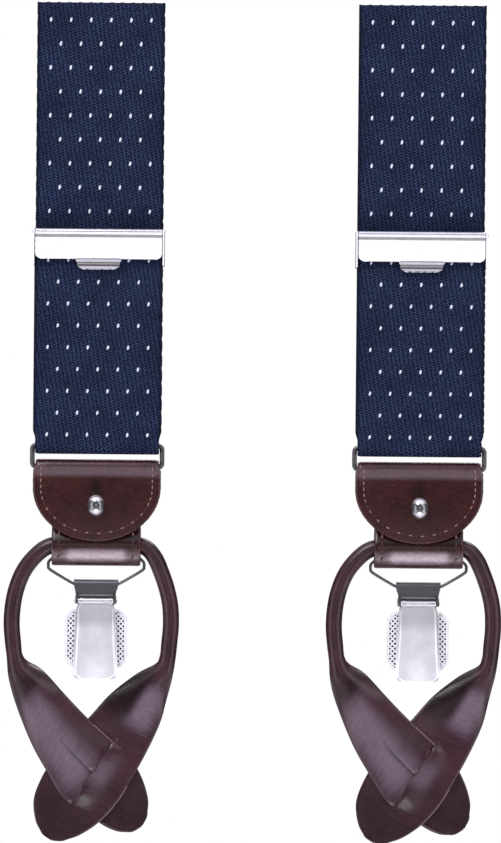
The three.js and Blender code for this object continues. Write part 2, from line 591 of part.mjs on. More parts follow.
for (const [side, sign] of Object.entries(SIDES)) {
  const strap = new THREE.Group();
  strap.position.x = sign * STRAP_SPACING / 2;
  const place = (name, geometry, look) => add(strap, `${side}_${name}`, geometry, look);
  place('upper_webbing', tapeRun(1, 0, ADJUSTER_TOP, false), WEBBING);
  place('rear_webbing', tapeRun(1, ADJUSTER_TOP - GAP, tapeFoldTop + GAP, true), WEBBING);
  place('webbing_fold', tapeFold(), WEBBING);
  place('front_webbing', tapeRun(-1, frontTapeTop, tapeFoldTop + GAP, true), WEBBING);
  place('adjuster_frame', adjusterFrame(), NICKEL);
  place('adjuster_hinge_pin', barX(HINGE_R, frameOuter + 0.3, camAxisY, camAxisZ), NICKEL);
  place('adjuster_cam_plate', adjusterCam(), NICKEL);
  place('ring', ring(), NICKEL);
  place('tab_back', tabBack(), TAB_LEATHER);
  place('tab_flap', tabFlap(), TAB_LEATHER);
  place('stud', stud(), NICKEL);
  place('stud_base', studBase(), NICKEL);
  place('hanger_strip', hangerStrip(), TAB_LEATHER);
  place('loop_cord', loopCord(), ROLLED_LEATHER);
  place('loop_tail_a', tail(TAIL_A, true, plainStops, [3], 0.3, 0.6), ROLLED_LEATHER);
  place('loop_tail_b', tail(TAIL_B, false, slotStops, [3, 4], 0.375, 0.71), ROLLED_LEATHER);
  place('wire_bail', bail(), WIRE);
  place('clip_body', clipBody(), DARK_STEEL);
  place('clip_hinge_pin', barX(HINGE_R, CLIP_WIDTH / 2 + 0.35, clipAxisY, clipAxisZ), NICKEL);
  place('clip_grip_plate', gripPlate(), NICKEL);
  place('clip_spring', clipSpring(), DARK_STEEL);
  place('clip_inner_jaw', clipJaw(), NICKEL);
  place('clip_jaw_pad', jawPad(), RUBBER);
  place('clip_cover', clipCover(), NICKEL);
  model.add(strap);
}

export default model;
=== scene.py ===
"""The visible pieces and finishes of a pair of suspenders' front straps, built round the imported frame.

Shapes are worked out in millimetres as grids of points and put down in metres, in the frame's own
axes: +Z up the strap, -Y to the front.
"""
import json
import math

import bpy
import numpy as np
from bpy.props import FloatProperty, FloatVectorProperty, PointerProperty
from mathutils import Matrix, Vector


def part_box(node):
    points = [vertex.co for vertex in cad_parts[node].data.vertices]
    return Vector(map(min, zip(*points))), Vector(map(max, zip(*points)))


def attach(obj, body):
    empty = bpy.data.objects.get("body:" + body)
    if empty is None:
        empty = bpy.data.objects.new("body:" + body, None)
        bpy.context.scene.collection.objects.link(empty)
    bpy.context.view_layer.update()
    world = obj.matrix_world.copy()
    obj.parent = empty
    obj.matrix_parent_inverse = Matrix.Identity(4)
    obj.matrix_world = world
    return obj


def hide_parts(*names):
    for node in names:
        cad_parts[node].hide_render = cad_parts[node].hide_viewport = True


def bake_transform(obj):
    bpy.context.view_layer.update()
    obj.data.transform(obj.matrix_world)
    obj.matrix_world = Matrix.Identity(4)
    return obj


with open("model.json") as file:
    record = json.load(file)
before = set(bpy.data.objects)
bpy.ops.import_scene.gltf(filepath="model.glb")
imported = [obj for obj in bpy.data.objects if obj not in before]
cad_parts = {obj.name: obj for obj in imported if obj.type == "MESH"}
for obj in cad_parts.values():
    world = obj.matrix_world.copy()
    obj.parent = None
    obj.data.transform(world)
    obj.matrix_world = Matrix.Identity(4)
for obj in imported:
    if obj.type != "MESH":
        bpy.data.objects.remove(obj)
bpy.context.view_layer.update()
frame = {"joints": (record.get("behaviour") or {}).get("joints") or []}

bl_info = {
    "name": "Suspenders builder",
    "version": (1, 0, 0),
    "blender": (4, 5, 0),
    "location": "View3D > Sidebar > Suspenders",
    "description": "Builds the webbing, leather and metal of a pair of suspenders' front straps",
    "category": "Add Mesh",
}

MM = 0.001
FIRST_FRONT_ROW = 11.1
SIDES = ("left", "right")
TURN = 2 * math.pi


def corners(side, node):
    """A node's lowest and highest corner, measured from the strap's own centre line."""
    low, high = (np.array(c, float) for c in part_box(f"{side}_{node}"))
    middle = np.array([centre_x(side), 0, 0])
    return low - middle, high - middle


def centre_x(side):
    low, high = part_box(f"{side}_upper_webbing")
    return (low[0] + high[0]) / 2


# places that the frame gives, the same on both sides, in metres
TAPE_LOW, TAPE_HIGH = corners("left", "upper_webbing")
HALF_TAPE = TAPE_HIGH[0]
TAPE = TAPE_HIGH[1] - TAPE_LOW[1]
TAPE_MID = (TAPE_HIGH[1] + TAPE_LOW[1]) / 2
RING_LOW, RING_HIGH = corners("left", "ring")
WIRE_R = (RING_HIGH[1] - RING_LOW[1]) / 2
TOP_BAR = RING_HIGH[2] - WIRE_R
LOW_BAR = RING_LOW[2] + WIRE_R
FRONT_TAPE_TOP = corners("left", "front_webbing")[1][2]
FOLD_HALF = corners("left", "webbing_fold")[1][0]
FLAP_HIGH = corners("left", "tab_flap")[1]
STRIP_LOW, STRIP_HIGH = corners("left", "hanger_strip")
BAIL_LOW, BAIL_HIGH = corners("left", "wire_bail")
CAM_LOW, CAM_HIGH = corners("left", "adjuster_cam_plate")
COVER_LOW = corners("left", "clip_cover")[0]
GRIP_LOW, GRIP_HIGH = corners("left", "clip_grip_plate")
STUD_LOW, STUD_HIGH = corners("left", "stud")
STUD_Z = (STUD_LOW[2] + STUD_HIGH[2]) / 2 / MM
JOINTS = {j["name"]: j for j in frame["joints"]}


def pivot(name):
    """A left-hand joint's y and z, which are the right-hand one's too."""
    return JOINTS[f"left_{name}"]["pos_m"][1:]


# ---- settings ----
class TapeSettings(bpy.types.PropertyGroup):
    dot_pitch: FloatProperty(name="Dot pitch", description="Between dots in a row",
                             default=5.45 * MM, unit="LENGTH")
    row_pitch: FloatProperty(name="Row pitch", description="Between rows of dots",
                             default=6.5 * MM, unit="LENGTH")
    twill_pitch: FloatProperty(name="Twill pitch", description="Between twill lines",
                               default=0.72 * MM, unit="LENGTH")
    navy: FloatVectorProperty(name="Navy", description="Ground colour", size=3, subtype="COLOR",
                              default=(0.0020, 0.0034, 0.016))
    line: FloatVectorProperty(name="Twill line", description="Colour of the raised twill", size=3,
                              subtype="COLOR", default=(0.050, 0.076, 0.175))
    dot: FloatVectorProperty(name="Dot", description="Pin dot colour", size=3, subtype="COLOR",
                             default=(0.62, 0.66, 0.78))


class LeatherSettings(bpy.types.PropertyGroup):
    stitch_pitch: FloatProperty(name="Stitch pitch", description="Along a seam",
                                default=1.6 * MM, unit="LENGTH")
    stitch_inset: FloatProperty(name="Seam inset", description="From the edge",
                                default=2.1 * MM, unit="LENGTH")
    tab: FloatVectorProperty(name="Tab", description="Tab and strip colour", size=3, subtype="COLOR",
                             default=(0.026, 0.0050, 0.0058))
    rolled: FloatVectorProperty(name="Rolled", description="Button loop colour", size=3, subtype="COLOR",
                                default=(0.034, 0.0125, 0.019))
    raw: FloatVectorProperty(name="Raw edge", description="Cut edge colour", size=3, subtype="COLOR",
                             default=(0.30, 0.085, 0.055))


class MetalSettings(bpy.types.PropertyGroup):
    nickel: FloatVectorProperty(name="Nickel", description="Bright plate", size=3, subtype="COLOR",
                                default=(0.78, 0.77, 0.82))
    steel: FloatVectorProperty(name="Dark steel", description="Clip body", size=3, subtype="COLOR",
                               default=(0.10, 0.10, 0.11))
    hole_radius: FloatProperty(name="Hole radius", description="Grip plate holes",
                               default=0.30 * MM, unit="LENGTH")
    hole_pitch: FloatProperty(name="Hole pitch", description="Between holes in a column",
                              default=1.36 * MM, unit="LENGTH")


# ---- shader arithmetic ----
class Value:
    """A socket that takes part in Python arithmetic: each operation adds one Math node."""

    def __init__(self, tree, socket):
        self.tree = tree
        self.socket = socket

    def math(self, operation, *others):
        node = self.tree.nodes.new("ShaderNodeMath")
        node.operation = operation
        for slot, item in zip(node.inputs, others):
            if isinstance(item, Value):
                self.tree.links.new(item.socket, slot)
            else:
                slot.default_value = item
        return Value(self.tree, node.outputs[0])

    def __add__(self, other): return self.math("ADD", self, other)
    def __sub__(self, other): return self.math("SUBTRACT", self, other)
    def __rsub__(self, other): return self.math("SUBTRACT", other, self)
    def __mul__(self, other): return self.math("MULTIPLY", self, other)
    def __rmul__(self, other): return self.math("MULTIPLY", other, self)
    def __lt__(self, other): return self.math("LESS_THAN", self, other)
    def __abs__(self): return self.math("ABSOLUTE", self)
    def __pow__(self, other): return self.math("POWER", self, other)
    def floor(self): return self.math("FLOOR", self)
    def fract(self): return self.math("FRACT", self)
    def sin(self): return self.math("SINE", self)
    def most(self, other): return self.math("MAXIMUM", self, other)

    def ramp(self, low, high):
        """0 below low, 1 above high, smooth between."""
        node = self.tree.nodes.new("ShaderNodeMapRange")
        node.interpolation_type = "SMOOTHSTEP"
        self.tree.links.new(self.socket, node.inputs["Value"])
        node.inputs["From Min"].default_value = low
        node.inputs["From Max"].default_value = high
        return Value(self.tree, node.outputs["Result"])


class Finish:
    """A material round one Principled shader. Constants go on its sockets, patterns through node()."""

    def __init__(self, name, **constants):
        self.material = bpy.data.materials.new(name)
        self.material.use_nodes = True
        self.tree = self.material.node_tree
        self.shader = self.tree.nodes["Principled BSDF"]
        self.material.diffuse_color = (*constants.get("Base_Color", (0.5, 0.5, 0.5)), 1)
        for key, value in constants.items():
            socket = self.shader.inputs[key.replace("_", " ")]
            socket.default_value = (*value, 1) if key == "Base_Color" else value

    def node(self, kind, settings=None, **sockets):
        """Adds a node: its settings first, then its sockets by name, or by number after an n."""
        node = self.tree.nodes.new(kind)
        for key, value in (settings or {}).items():
            setattr(node, key, value)
        for key, value in sockets.items():
            numbered = key.startswith("n") and key[1:].isdigit()
            self.feed(node.inputs[int(key[1:]) if numbered else key.replace("_", " ")], value)
        return node

    def feed(self, slot, value):
        if isinstance(value, Value):
            self.tree.links.new(value.socket, slot)
        elif isinstance(value, bpy.types.NodeSocket):
            self.tree.links.new(value, slot)
        else:
            slot.default_value = value

    def value(self, socket):
        return Value(self.tree, socket)

    def place(self, kind="Object", scale=1000.0):
        """Object or UV coordinates in millimetres: the vector socket and its three values."""
        source = self.node("ShaderNodeTexCoord").outputs[kind]
        scaled = self.node("ShaderNodeVectorMath", {"operation": "SCALE"}, n0=source, Scale=scale).outputs[0]
        parts = self.node("ShaderNodeSeparateXYZ", n0=scaled)
        return scaled, [self.value(s) for s in parts.outputs]

    def noise(self, vector, scale, detail=2.0, rough=0.5, stretch=None):
        """Smooth noise from 0 to 1, with features about 1/scale millimetres wide."""
        if stretch:
            scaled = self.node("ShaderNodeVectorMath", {"operation": "MULTIPLY"}, n0=vector, n1=stretch)
            vector = scaled.outputs[0]
        node = self.node("ShaderNodeTexNoise", Vector=vector, Scale=scale, Detail=detail, Roughness=rough)
        return self.value(node.outputs["Fac"])

    def cells(self, vector, scale):
        """The distance from the middle of the nearest of many scattered cells."""
        node = self.node("ShaderNodeTexVoronoi", Vector=vector, Scale=scale)
        return self.value(node.outputs["Distance"])

    def mix(self, factor, low, high):
        """A colour from low to high: each a colour or another mix's output."""
        node = self.node("ShaderNodeMix", {"data_type": "RGBA"})
        self.feed(node.inputs["Factor"], factor)
        for slot, colour in zip((node.inputs[6], node.inputs[7]), (low, high)):
            self.feed(slot, colour if isinstance(colour, bpy.types.NodeSocket) else (*colour[:3], 1))
        return node.outputs[2]

    def drive(self, name, value):
        self.feed(self.shader.inputs[name], value)
        return self

    def bump(self, height, depth, strength=1.0):
        """height from 0 to 1 stands for depth millimetres."""
        node = self.node("ShaderNodeBump", Height=height, Distance=depth * MM, Strength=strength)
        return self.drive("Normal", node.outputs["Normal"])


def shade(colour, factor):
    return tuple(c * factor for c in colour)


# ---- finishes ----
def webbing_finish(first_row, along_scale):
    """Navy twill with pin dots, on the tape's own UV in metres: u across, v down from the tape's end."""
    tape = bpy.context.scene.tape_settings
    made = Finish("webbing", Base_Color=tape.navy, Roughness=0.9, Specular_IOR_Level=0.12)
    vector, (across, along, _) = made.place("UV")
    along = along * along_scale
    pitch = tape.twill_pitch / MM
    phase = (across + along * 0.8) * (1 / pitch) + 0.2 * made.noise(vector, 0.25)
    ridge = abs(phase.fract() - 0.5) * -2.0 + 1.0
    dash = abs((along * (1 / 1.2) + phase.floor() * 0.37).fract() - 0.5) * 2.0
    thread = ridge.ramp(0.35, 0.8) * dash.ramp(0.05, 0.5)
    specks = made.noise(vector, 1.6, 1.0)
    colour = made.mix(thread * (specks.ramp(0.3, 0.62) * 0.7 + 0.3), tape.navy, tape.line)
    colour = made.mix(made.noise(vector, 0.09).ramp(0.35, 0.7) * 0.35, colour, shade(tape.navy, 0.55))
    row = (along - first_row) * (MM / tape.row_pitch)
    number = (row + 0.5).floor()
    odd = (number * 0.5).fract() * 2.0
    down = (row - number) * (tape.row_pitch / MM)
    column = across * (MM / tape.dot_pitch) + 0.5 - 0.5 * odd
    aside = ((column + 0.5).fract() - 0.5) * (tape.dot_pitch / MM) + down * 0.16
    away = ((aside * (1 / 0.34)) ** 2.0 + (down * (1 / 0.66)) ** 2.0)
    dots = (1.0 - away.ramp(0.55, 1.15)) * (abs(across) < 15.2)
    colour = made.mix(dots, colour, tape.dot)
    selvedge = abs(across).ramp(16.1, 16.9)
    colour = made.mix(selvedge * 0.6, colour, shade(tape.navy, 0.4))
    made.drive("Base Color", colour)
    ribs = (along * (TURN / 0.5)).sin() * 0.5 + 0.5
    height = ridge * 0.5 + thread * 0.5 + dots * 0.6 + selvedge * ribs * 0.5
    return made.bump(height, 0.16, 0.8).material


def leather_finish(name, colour, source, creases, polish, painted_light=None, pale=(0.2, 0.15, 0.18)):
    """Polished leather: pores, fine creases, darker burnished patches.

    The painted-light function takes the piece's two UV values in millimetres and gives how much painted shade
    and how much painted highlight each place gets; pale is the painted highlight's colour.
    """
    made = Finish(name, Base_Color=colour, Coat_Weight=0.1, Coat_Roughness=0.2, Specular_IOR_Level=0.3)
    vector, (x, y, _) = made.place(source)
    patches = made.noise(vector, 0.16, 3.0)
    pores = made.cells(vector, 2.4)
    fine = made.noise(vector, 2.6, 4.0, 0.7)
    lines = made.noise(vector, 1.0, 3.0, 0.6, stretch=creases)
    tone = made.mix(patches.ramp(0.3, 0.72), shade(colour, 0.75), shade(colour, 1.3))
    tone = made.mix(lines.ramp(0.52, 0.75) * 0.35, tone, shade(colour, 2.2))
    tone = made.mix((1.0 - pores.ramp(0.05, 0.2)) * 0.4, tone, shade(colour, 0.35))
    rough = fine * 0.16 + polish + lines.ramp(0.5, 0.7) * 0.08
    if painted_light:
        # painted shade and painted highlight, placed by the piece's painted-light function
        dark, light = painted_light(x, y)
        tone = made.mix(light * (lines * 0.9 + 0.45), tone, pale)
        tone = made.mix(dark * 0.9, tone, shade(colour, 0.2))
    made.drive("Base Color", tone)
    made.drive("Roughness", rough)
    height = fine * 0.4 + lines.ramp(0.35, 0.75) * 0.5 + pores.ramp(0.0, 0.3) * 0.4
    return made.bump(height, 0.08, 0.4).material


def tab_painted_light(x, t):
    """Painted shade in the dent round the slit above the stud and in the slit itself, a painted highlight
    along the top fold.
    """
    dent = ((x * (1 / 2.3)) ** 2.0 + ((t - 4.6) * (1 / 2.9)) ** 2.0)
    slit = (1.0 - abs(x).ramp(0.12, 0.3)) * (abs(t - 4.4) < 2.2)
    return ((1.0 - dent.ramp(0.1, 1.2)) * 0.6).most(slit), (1.0 - abs(t + 0.2).ramp(0.5, 2.2)) * 0.35


def strip_painted_light(x, run):
    """Painted highlight where the strip bulges over the cord, painted shade in the crease above."""
    below = run - PLACES["bulge"]
    ends = 1.0 - abs(x).ramp(6.6, 9.0) * 0.75
    return (1.0 - abs(below + 4.2).ramp(0.6, 2.4)) * 0.6, (1.0 - abs(below).ramp(0.1, 2.3)) * ends * 0.85


def loop_painted_light(x, run):
    """Painted shade inside the bends at each tail's root, darker on the paddles, a painted sheen along the
    ridges between.
    """
    after = run - PLACES["b_root"]
    before = PLACES["a_root"] - run
    far = (1.0 - after.ramp(13.0, 20.0)) * after.ramp(0.0, 4.0) * (x + after * 0.1).ramp(0.8, 2.6)
    near = (1.0 - abs(before - 4.5).ramp(0.8, 3.2)) * (1.0 - abs(x - 1.0).ramp(2.0, 5.0)) * 0.75
    paddles = after.ramp(36.0, 44.0).most(before.ramp(34.0, 42.0)) * 0.45
    ridge_a = before.ramp(4.0, 12.0) * (1.0 - before.ramp(30.0, 37.0))
    ridge_a = ridge_a * (1.0 - abs(x + 1.2).ramp(0.8, 4.4))
    ridge_b = after.ramp(3.0, 8.0) * (1.0 - after.ramp(15.0, 20.0)) * (1.0 - abs(x + 1.6).ramp(0.8, 3.4))
    fold_b = (1.0 - abs(after - 33.0).ramp(1.0, 6.0)) * (1.0 - abs(x + 0.6).ramp(0.5, 2.6)) * 0.6
    return far.most(near).most(paddles), (ridge_a.most(ridge_b).most(fold_b)) * 0.6


def raw_edge_finish(name, colour):
    """The cut edge of vegetable-tanned leather: orange-brown fibres."""
    made = Finish(name, Base_Color=colour, Roughness=0.7)
    vector, _ = made.place()
    fibres = made.noise(vector, 3.0, 3.0, 0.7, stretch=(1, 3, 1))
    made.drive("Base Color", made.mix(fibres.ramp(0.3, 0.7), shade(colour, 0.45), shade(colour, 1.25)))
    return made.bump(fibres, 0.08).material


def metal_finish(name, colour, rough, brushed, metallic=0.8, belts=()):
    """Plated metal with faint handling marks; brushed gives the marks a direction.

    Each shade band is a strip of painted shade round the piece: its height, how far it reaches and how dark
    it is.
    """
    made = Finish(name, Base_Color=colour, Metallic=metallic, Roughness=rough)
    vector, (_, _, z) = made.place()
    smudge = made.noise(vector, 0.35, 3.0)
    marks = made.noise(vector, 1.6, 4.0, 0.75, stretch=brushed)
    tone = made.mix(smudge.ramp(0.3, 0.75), shade(colour, 0.94), shade(colour, 1.03))
    # painted shade: a darker strip at each given height
    for height, reach, dark in belts:
        painted_shade = (1.0 - abs(z - height).ramp(0.5 * reach, reach)) * (marks * 0.5 + 0.7)
        tone = made.mix(painted_shade, tone, shade(colour, dark))
    made.drive("Base Color", tone)
    made.drive("Roughness", smudge * 0.04 + marks * 0.06 + (rough - 0.04))
    return made.bump(marks, 0.01, 0.3).material


def thread_finish(name, colour):
    """Waxed two-ply thread, its twist along the stitch."""
    made = Finish(name, Base_Color=colour, Roughness=0.6, Sheen_Weight=0.1)
    _, (x, _, z) = made.place()
    twist = (((x + z) * 9.0).sin()) * 0.5 + 0.5
    made.drive("Base Color", made.mix(twist, shade(colour, 0.6), shade(colour, 1.3)))
    return made.bump(twist, 0.05).material


def rubber_finish():
    """Matt moulded rubber with a fine stipple."""
    made = Finish("rubber", Base_Color=(0.02, 0.02, 0.022), Roughness=0.8)
    vector, _ = made.place()
    stipple = made.noise(vector, 4.0, 2.0)
    made.drive("Base Color", made.mix(stipple, (0.008, 0.008, 0.009), (0.035, 0.035, 0.038)))
    return made.bump(stipple, 0.05).material


FINISHES = {}
# how far along their leather the loop's tails start and the strip bulges; the pieces put their own values in
PLACES = {"a_root": 50.0, "b_root": 150.0, "bulge": 11.0}


def finish(name):
    """One material of each name, made when first asked for."""
    if name not in FINISHES:
        leather = bpy.context.scene.leather_settings
        metal = bpy.context.scene.metal_settings
        along, upright = (0.6, 1, 1.1), (0.6, 1.1, 1)

        def tabs(source, creases, *more):
            return leather_finish(name, leather.tab, source, creases, 0.16, *more)

        def nickel(factor=1.0, rough=0.16, brushed=(0.2, 1, 1), **more):
            return metal_finish(name, shade(metal.nickel, factor), rough, brushed, **more)

        makers = {
            "rear_tape": lambda: webbing_finish(4.7, 1.0),
            "front_tape": lambda: webbing_finish(FIRST_FRONT_ROW, 1.1),
            "tab_leather": lambda: tabs("Object", along),
            # the tab's front leaf, with painted shade at the slit and a painted highlight along its top fold
            "slit_leather": lambda: tabs("UV", upright, tab_painted_light),
            # the strip, with a painted highlight over its bulge in the pale colour given here
            "strip_leather": lambda: tabs("UV", upright, strip_painted_light, (0.48, 0.40, 0.45)),
            # the button loop, with a painted sheen on its tails in the pale colour given here
            "rolled_leather": lambda: leather_finish(name, leather.rolled, "UV", (0.45, 1.5, 1), 0.2,
                                                     loop_painted_light, (0.19, 0.145, 0.195)),
            "raw_edge": lambda: raw_edge_finish(name, leather.raw),
            "loop_edge": lambda: raw_edge_finish(name, (0.21, 0.125, 0.095)),
            "nickel": nickel,
            # the cover: painted shade darkening its top, lighter further down
            "cover_nickel": lambda: nickel(1.06, 0.42, (1.2, 1, 0.4), belts=[(CLIP_Z, 8.5, 0.66)]),
            # the stud head: a painted dark band round its middle, standing in for a reflection
            "stud_nickel": lambda: nickel(belts=[(STUD_Z, 1.7, 0.2)]),
            # the adjuster plate: painted shade in a line under the knuckle and in a band across the lift tab
            "cam_nickel": lambda: nickel(belts=[(pivot("adjuster_cam")[1] / MM - 1.1, 0.55, 0.3),
                                                (CAM_LOW[2] / MM + 1.25, 0.7, 0.3)]),
            "grip_nickel": lambda: nickel(1.15, 0.5, (1, 1, 1), metallic=0.25),
            "dark_steel": lambda: metal_finish(name, metal.steel, 0.34, (0.2, 1, 1)),
            "wire": lambda: metal_finish(name, shade(metal.steel, 1.1), 0.3, (1, 1, 1)),
            "thread_dark": lambda: thread_finish(name, (0.03, 0.010, 0.010)),
            "thread_tan": lambda: thread_finish(name, (0.26, 0.135, 0.12)),
            "rubber": rubber_finish,
        }
        FINISHES[name] = makers[name]()
    return FINISHES[name]


# ---- grids of points ----
def grid_of(x, y, z):
    """Points from three arrays, each spread over what the others add."""
    return np.stack(np.broadcast_arrays(x, y, z), -1)


def run_lengths(route):
    """How far each point of a route is from its start, along it."""
    return np.concatenate([[0], np.cumsum(np.hypot(*np.diff(route, axis=0).T))])


def rounding(past, radius):
    """How far a corner of this radius has drawn the edge in, past its start."""
    return radius - np.sqrt(np.maximum(radius**2 - np.clip(past, 0, radius) ** 2, 0))


def ease(value, low, high):
    """0 below low, 1 above high, smooth between."""
    t = np.clip((np.asarray(value, float) - low) / (high - low), 0, 1)
    return t * t * (3 - 2 * t)


def quads(rows, columns, wrap_rows=False, wrap_columns=False):
    """The cells of a grid of points, as four corner numbers each."""
    i = np.arange(rows if wrap_rows else rows - 1)[:, None]
    j = np.arange(columns if wrap_columns else columns - 1)[None, :]
    below, beside = (i + 1) % rows, (j + 1) % columns
    corner = [i * columns + j, below * columns + j, below * columns + beside, i * columns + beside]
    return np.stack([c + 0 * i + 0 * j for c in corner], -1).reshape(-1, 4)


def put(name, points, faces, finishes, uv=None, slots=None, smooth=True):
    """A mesh object from points in millimetres, one finish for each slot, with its faces turned outward."""
    mesh = bpy.data.meshes.new(name)
    points = np.asarray(points, float).reshape(-1, 3) * MM
    faces = np.asarray(faces, int).reshape(-1, 4)
    a, b, c, d = (points[faces[:, k]] for k in range(4))
    volume = (np.einsum("ij,ij->i", a, np.cross(b, c)) + np.einsum("ij,ij->i", a, np.cross(c, d))).sum()
    if volume < 0:
        faces = faces[:, ::-1]
    mesh.vertices.add(len(points))
    mesh.vertices.foreach_set("co", points.ravel())
    mesh.loops.add(faces.size)
    mesh.loops.foreach_set("vertex_index", faces.ravel())
    mesh.polygons.add(len(faces))
    mesh.polygons.foreach_set("loop_start", np.arange(len(faces)) * 4)
    if slots is not None:
        mesh.polygons.foreach_set("material_index", np.asarray(slots, int))
    mesh.polygons.foreach_set("use_smooth", np.full(len(faces), smooth))
    if uv is not None:
        layer = mesh.uv_layers.new(name="UVMap")
        layer.data.foreach_set("uv", (np.asarray(uv, float).reshape(-1, 2) * MM)[faces.ravel()].ravel())
    mesh.update(calc_edges=True)
    mesh.validate()
    for item in finishes:
        mesh.materials.append(finish(item))
    made = bpy.data.objects.new(name, mesh)
    bpy.context.scene.collection.objects.link(made)
    return made


def bevel(made, width, segments=2):
    """Rounds the edges sharper than 40 degrees, by width millimetres."""
    change = made.modifiers.new("Bevel", "BEVEL")
    change.width = width * MM
    change.segments = segments
    change.limit_method = "ANGLE"
    change.angle_limit = math.radians(40)
    change.harden_normals = True
    return made


def normals(grid, wrap=False):
    """Unit normals of a grid of points by central differences; wrap joins its last column to its first."""
    along = np.gradient(grid, axis=0)
    if wrap:
        aside = np.roll(grid, -1, 1) - np.roll(grid, 1, 1)
    else:
        aside = np.gradient(grid, axis=1)
    cross = np.cross(along, aside)
    return cross / np.maximum(np.linalg.norm(cross, axis=-1, keepdims=True), 1e-9)


def thick(name, grid, thickness, finishes, uv=None, kept=None, wrap=False, edge_slot=0, trim=None):
    """A sheet on a grid (rows, columns, 3) of middle points, half the thickness to either side.

    kept marks the cells that are there; a wall closes the sheet wherever a kept cell has no neighbour.
    Walls take the finish numbered edge_slot, and so do the front cells that trim marks.
    """
    rows, columns = grid.shape[:2]
    half = normals(grid, wrap) * (np.broadcast_to(thickness, (rows, columns))[..., None] / 2)
    points = np.concatenate([(grid + half).reshape(-1, 3), (grid - half).reshape(-1, 3)])
    cells = (rows - 1, columns if wrap else columns - 1)
    kept = np.ones(cells, bool) if kept is None else kept
    number = quads(rows, columns, False, wrap).reshape(*cells, 4)
    back = rows * columns
    padded = np.pad(kept, 1)
    if wrap:
        padded[:, 0], padded[:, -1] = padded[:, -2], padded[:, 1]
    faces = [number[kept], number[kept][:, ::-1] + back]
    walls = []
    for shift, (p, q) in (((0, 1), (0, 3)), ((2, 1), (2, 1)), ((1, 0), (1, 0)), ((1, 2), (3, 2))):
        there = padded[shift[0]:shift[0] + cells[0], shift[1]:shift[1] + cells[1]]
        bare = number[kept & ~there]
        walls.append(np.stack([bare[:, q], bare[:, p], bare[:, p] + back, bare[:, q] + back], -1))
    faces = np.concatenate(faces + walls)
    slots = np.zeros(len(faces), int)
    slots[2 * int(kept.sum()):] = edge_slot
    if trim is not None:
        slots[:int(kept.sum())] = trim[kept] * edge_slot
        slots[int(kept.sum()):2 * int(kept.sum())] = trim[kept] * edge_slot
    used, faces = np.unique(faces, return_inverse=True)
    if uv is not None:
        uv = np.concatenate([uv.reshape(-1, 2)] * 2)[used]
    return put(name, points[used], faces.reshape(-1, 4), finishes, uv, slots)


def tube_faces(stations, count, wrap=False):
    """Faces of closed sections, an even count of points each, with a cap at both ends unless they wrap."""
    sides = quads(stations, count, wrap, True)
    if wrap:
        return sides
    j = np.arange(count // 2 - 1)
    cap = np.stack([j, j + 1, count - 2 - j, count - 1 - j], -1)
    return np.concatenate([sides, cap, cap[:, ::-1] + (stations - 1) * count])


def tube(name, sections, finishes, wrap=False):
    """Closed sections (stations, even count, 3) joined along their path, closed by caps or into a loop."""
    return put(name, sections, tube_faces(*sections.shape[:2], wrap), finishes)


def curve(control, per_span=8, closed=False):
    """A Catmull-Rom curve through rows of numbers, per_span points from each row to the next."""
    control = np.asarray(control, float)
    if closed:
        padded = np.concatenate([control[-1:], control, control[:2]])
    else:
        padded = np.concatenate([2 * control[:1] - control[1:2], control, 2 * control[-1:] - control[-2:-1]])
    t = (np.arange(per_span) / per_span)[None, :, None]
    p0, p1, p2, p3 = (padded[k:len(padded) - 3 + k, None] for k in range(4))
    spans = 0.5 * (2 * p1 + (p2 - p0) * t + (2 * p0 - 5 * p1 + 4 * p2 - p3) * t**2
                   + (3 * p1 - p0 - 3 * p2 + p3) * t**3)
    spans = spans.reshape(-1, control.shape[1])
    return spans if closed else np.concatenate([spans, control[-1:]])


def wire(name, path, radius, finishes, sides=20, closed=False, facing=(0, 1, 0)):
    """A round wire: the section lies across the path, with one axis along facing."""
    path = np.asarray(path, float)
    if closed:
        ahead = np.roll(path, -1, 0) - np.roll(path, 1, 0)
    else:
        ahead = np.gradient(path, axis=0)
    ahead /= np.linalg.norm(ahead, axis=1, keepdims=True)
    up = np.asarray(facing, float)[None]
    aside = np.cross(ahead, up)
    aside /= np.linalg.norm(aside, axis=1, keepdims=True)
    angle = (np.arange(sides) + 0.5) / sides * TURN
    ring = aside[:, None] * np.cos(angle)[None, :, None] + up[:, None] * np.sin(angle)[None, :, None]
    return tube(name, path[:, None] + radius * ring, finishes, closed)


def turned(name, profile, centre, finishes, sides=48, tall=1.0):
    """A lathe about an axis along Y: profile rows are radius and y; tall stretches it in z."""
    profile = np.asarray(profile, float)
    angle = np.arange(sides) / sides * TURN
    radius = np.maximum(profile[:, :1], 0.001)
    points = grid_of(radius * np.cos(angle), profile[:, 1:], radius * np.sin(angle) * tall)
    return tube(name, points + np.asarray(centre), finishes)


def stitches(name, places, directions, outward, length, radius, finishes, slots=None):
    """Thread ends: one capsule at each place, along its direction, its middle raised a little outward."""
    stations, sides = 9, 8
    t = np.linspace(-1, 1, stations)[:, None]
    angle = ((np.arange(sides) + 0.5) / sides * TURN)[None]
    width = radius * np.sqrt(np.maximum(1 - t**4, 0.0004))
    local = grid_of(length / 2 * t, width * np.cos(angle),
                    width * np.sin(angle) * 0.8 + 0.35 * radius * (1 - t**2)).reshape(-1, 3)
    along = directions / np.linalg.norm(directions, axis=1, keepdims=True)
    aside = np.cross(outward, along)
    frame_axes = np.stack([along, aside / np.linalg.norm(aside, axis=1, keepdims=True), outward], 1)
    points = np.einsum("kc,ncx->nkx", local, frame_axes) + places[:, None]
    one = tube_faces(stations, sides)
    faces = one[None] + (np.arange(len(places)) * stations * sides)[:, None, None]
    kinds = np.repeat(np.zeros(len(places), int) if slots is None else slots, len(one))
    return put(name, points, faces, finishes, slots=kinds)


